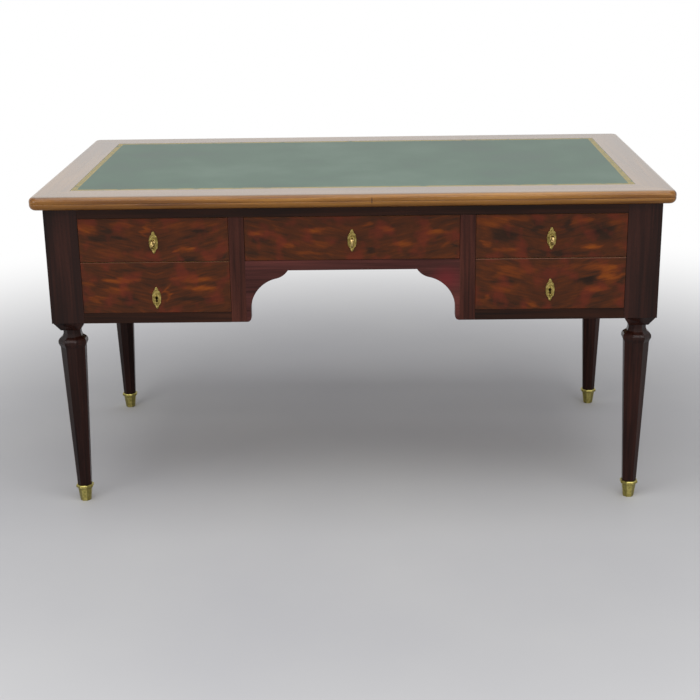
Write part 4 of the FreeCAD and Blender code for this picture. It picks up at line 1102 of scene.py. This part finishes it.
# %% Fit the escutcheons
for drawer in PLUMES:
    low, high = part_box(f"{drawer}_escutcheon")
    middle_x, middle_z = middle_of(low, high)
    plate = put(f"{drawer}_cast_escutcheon", plate_mesh, (middle_x, high[1], middle_z))
    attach(plate, drawer)
    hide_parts(f"{drawer}_escutcheon")
print("escutcheons:", len(PLUMES))

# %% [markdown]
# A key was turned on a lathe between its ring and its shank: a bead, a hollow and a collar that
# stops it against the escutcheon. A profile of (distance from the ring, radius) pairs, swept round
# the key's axis, gives them in one go.

# %% Turned collars of the keys
COLLAR_PROFILE = (
    (0.0, 2.5), (0.0, 3.4), (0.5, 3.9), (1.2, 3.9), (1.7, 3.4), (1.9, 2.9), (2.8, 2.75), (3.7, 3.0),
    (3.9, 3.6), (4.2, 4.3), (5.0, 4.5), (5.6, 4.2), (5.9, 3.5), (6.0, 2.5),
)
COLLAR_SIDES = 40
COLLAR_STAND_MM = 10.3


def collar_mesh():
    """The turned collars of one key."""
    points = bmesh.new()
    lay_rings(points, [[(radius * math.cos(t), back, radius * math.sin(t))
                        for t in full_turn(COLLAR_SIDES)] for back, radius in COLLAR_PROFILE])
    return finished_mesh(points, "key_collars", key_brass)


key_bodies = [name for name in frame["bodies"] if name.endswith("_key")]
collars = collar_mesh()
for body in key_bodies:
    drawer = body.replace("_key", "_drawer")
    low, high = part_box(f"{drawer}_escutcheon")
    middle_x, middle_z = middle_of(low, high)
    place = (middle_x, high[1] - COLLAR_STAND_MM * MM, middle_z)
    piece = put(f"{body}_collars", collars, place)
    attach(piece, body)
print("keys:", len(key_bodies))

# %% [markdown]
# Four slotted iron screws hold each lock to the back of its drawer front. They only show when a
# drawer is open. The head is a low disc with two raised halves, which leaves the slot between them.

# %% Lock screws
SCREW_RADIUS_MM, SLOT_HALF_MM = 2.2, 0.35
SCREW_SUNK_MM, SLOT_FLOOR_MM, SCREW_CROWN_MM = -0.2, 0.25, 0.8
SCREW_INSET_MM = 4.0
SCREW_SIDES, HALF_STEPS = 24, 12


def half_disc(side, low, high):
    """Lower and upper outline of one raised half of a screw's head."""
    start = math.asin(SLOT_HALF_MM / SCREW_RADIUS_MM)
    turns = [start + (math.pi - 2 * start) * step / HALF_STEPS for step in range(HALF_STEPS + 1)]
    flat = [(SCREW_RADIUS_MM * math.cos(t), SCREW_RADIUS_MM * math.sin(t) * side) for t in turns]
    return [[(x, y, z) for x, z in flat] for y in (low, high)]


def screw_mesh(places):
    """All the screws of one lock, their heads towards the back."""
    points = bmesh.new()
    disc = [[(SCREW_RADIUS_MM * math.cos(t), y, SCREW_RADIUS_MM * math.sin(t))
             for t in full_turn(SCREW_SIDES)] for y in (SCREW_SUNK_MM, SLOT_FLOOR_MM)]
    halves = [half_disc(side, SLOT_FLOOR_MM, SCREW_CROWN_MM) for side in (1, -1)]
    for x, z in places:
        for rings in (disc, *halves):
            moved = [[(px + x, py, pz + z) for px, py, pz in ring] for ring in rings]
            rows = lay_rings(points, moved)
            points.faces.new(rows[-1])
    return finished_mesh(points, "lock_screws", lock_iron, smooth=False)


for drawer in PLUMES:
    low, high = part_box(f"{drawer}_lock_case")
    middle_x, middle_z = middle_of(low, high)
    half_x = (high[0] - low[0]) / 2 / MM - SCREW_INSET_MM
    half_z = (high[2] - low[2]) / 2 / MM - SCREW_INSET_MM
    places = [(x * half_x, z * half_z) for x in (-1, 1) for z in (-1, 1)]
    piece = put(f"{drawer}_lock_screws", screw_mesh(places), (middle_x, high[1], middle_z))
    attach(piece, drawer)
print("screws:", 4 * len(PLUMES))
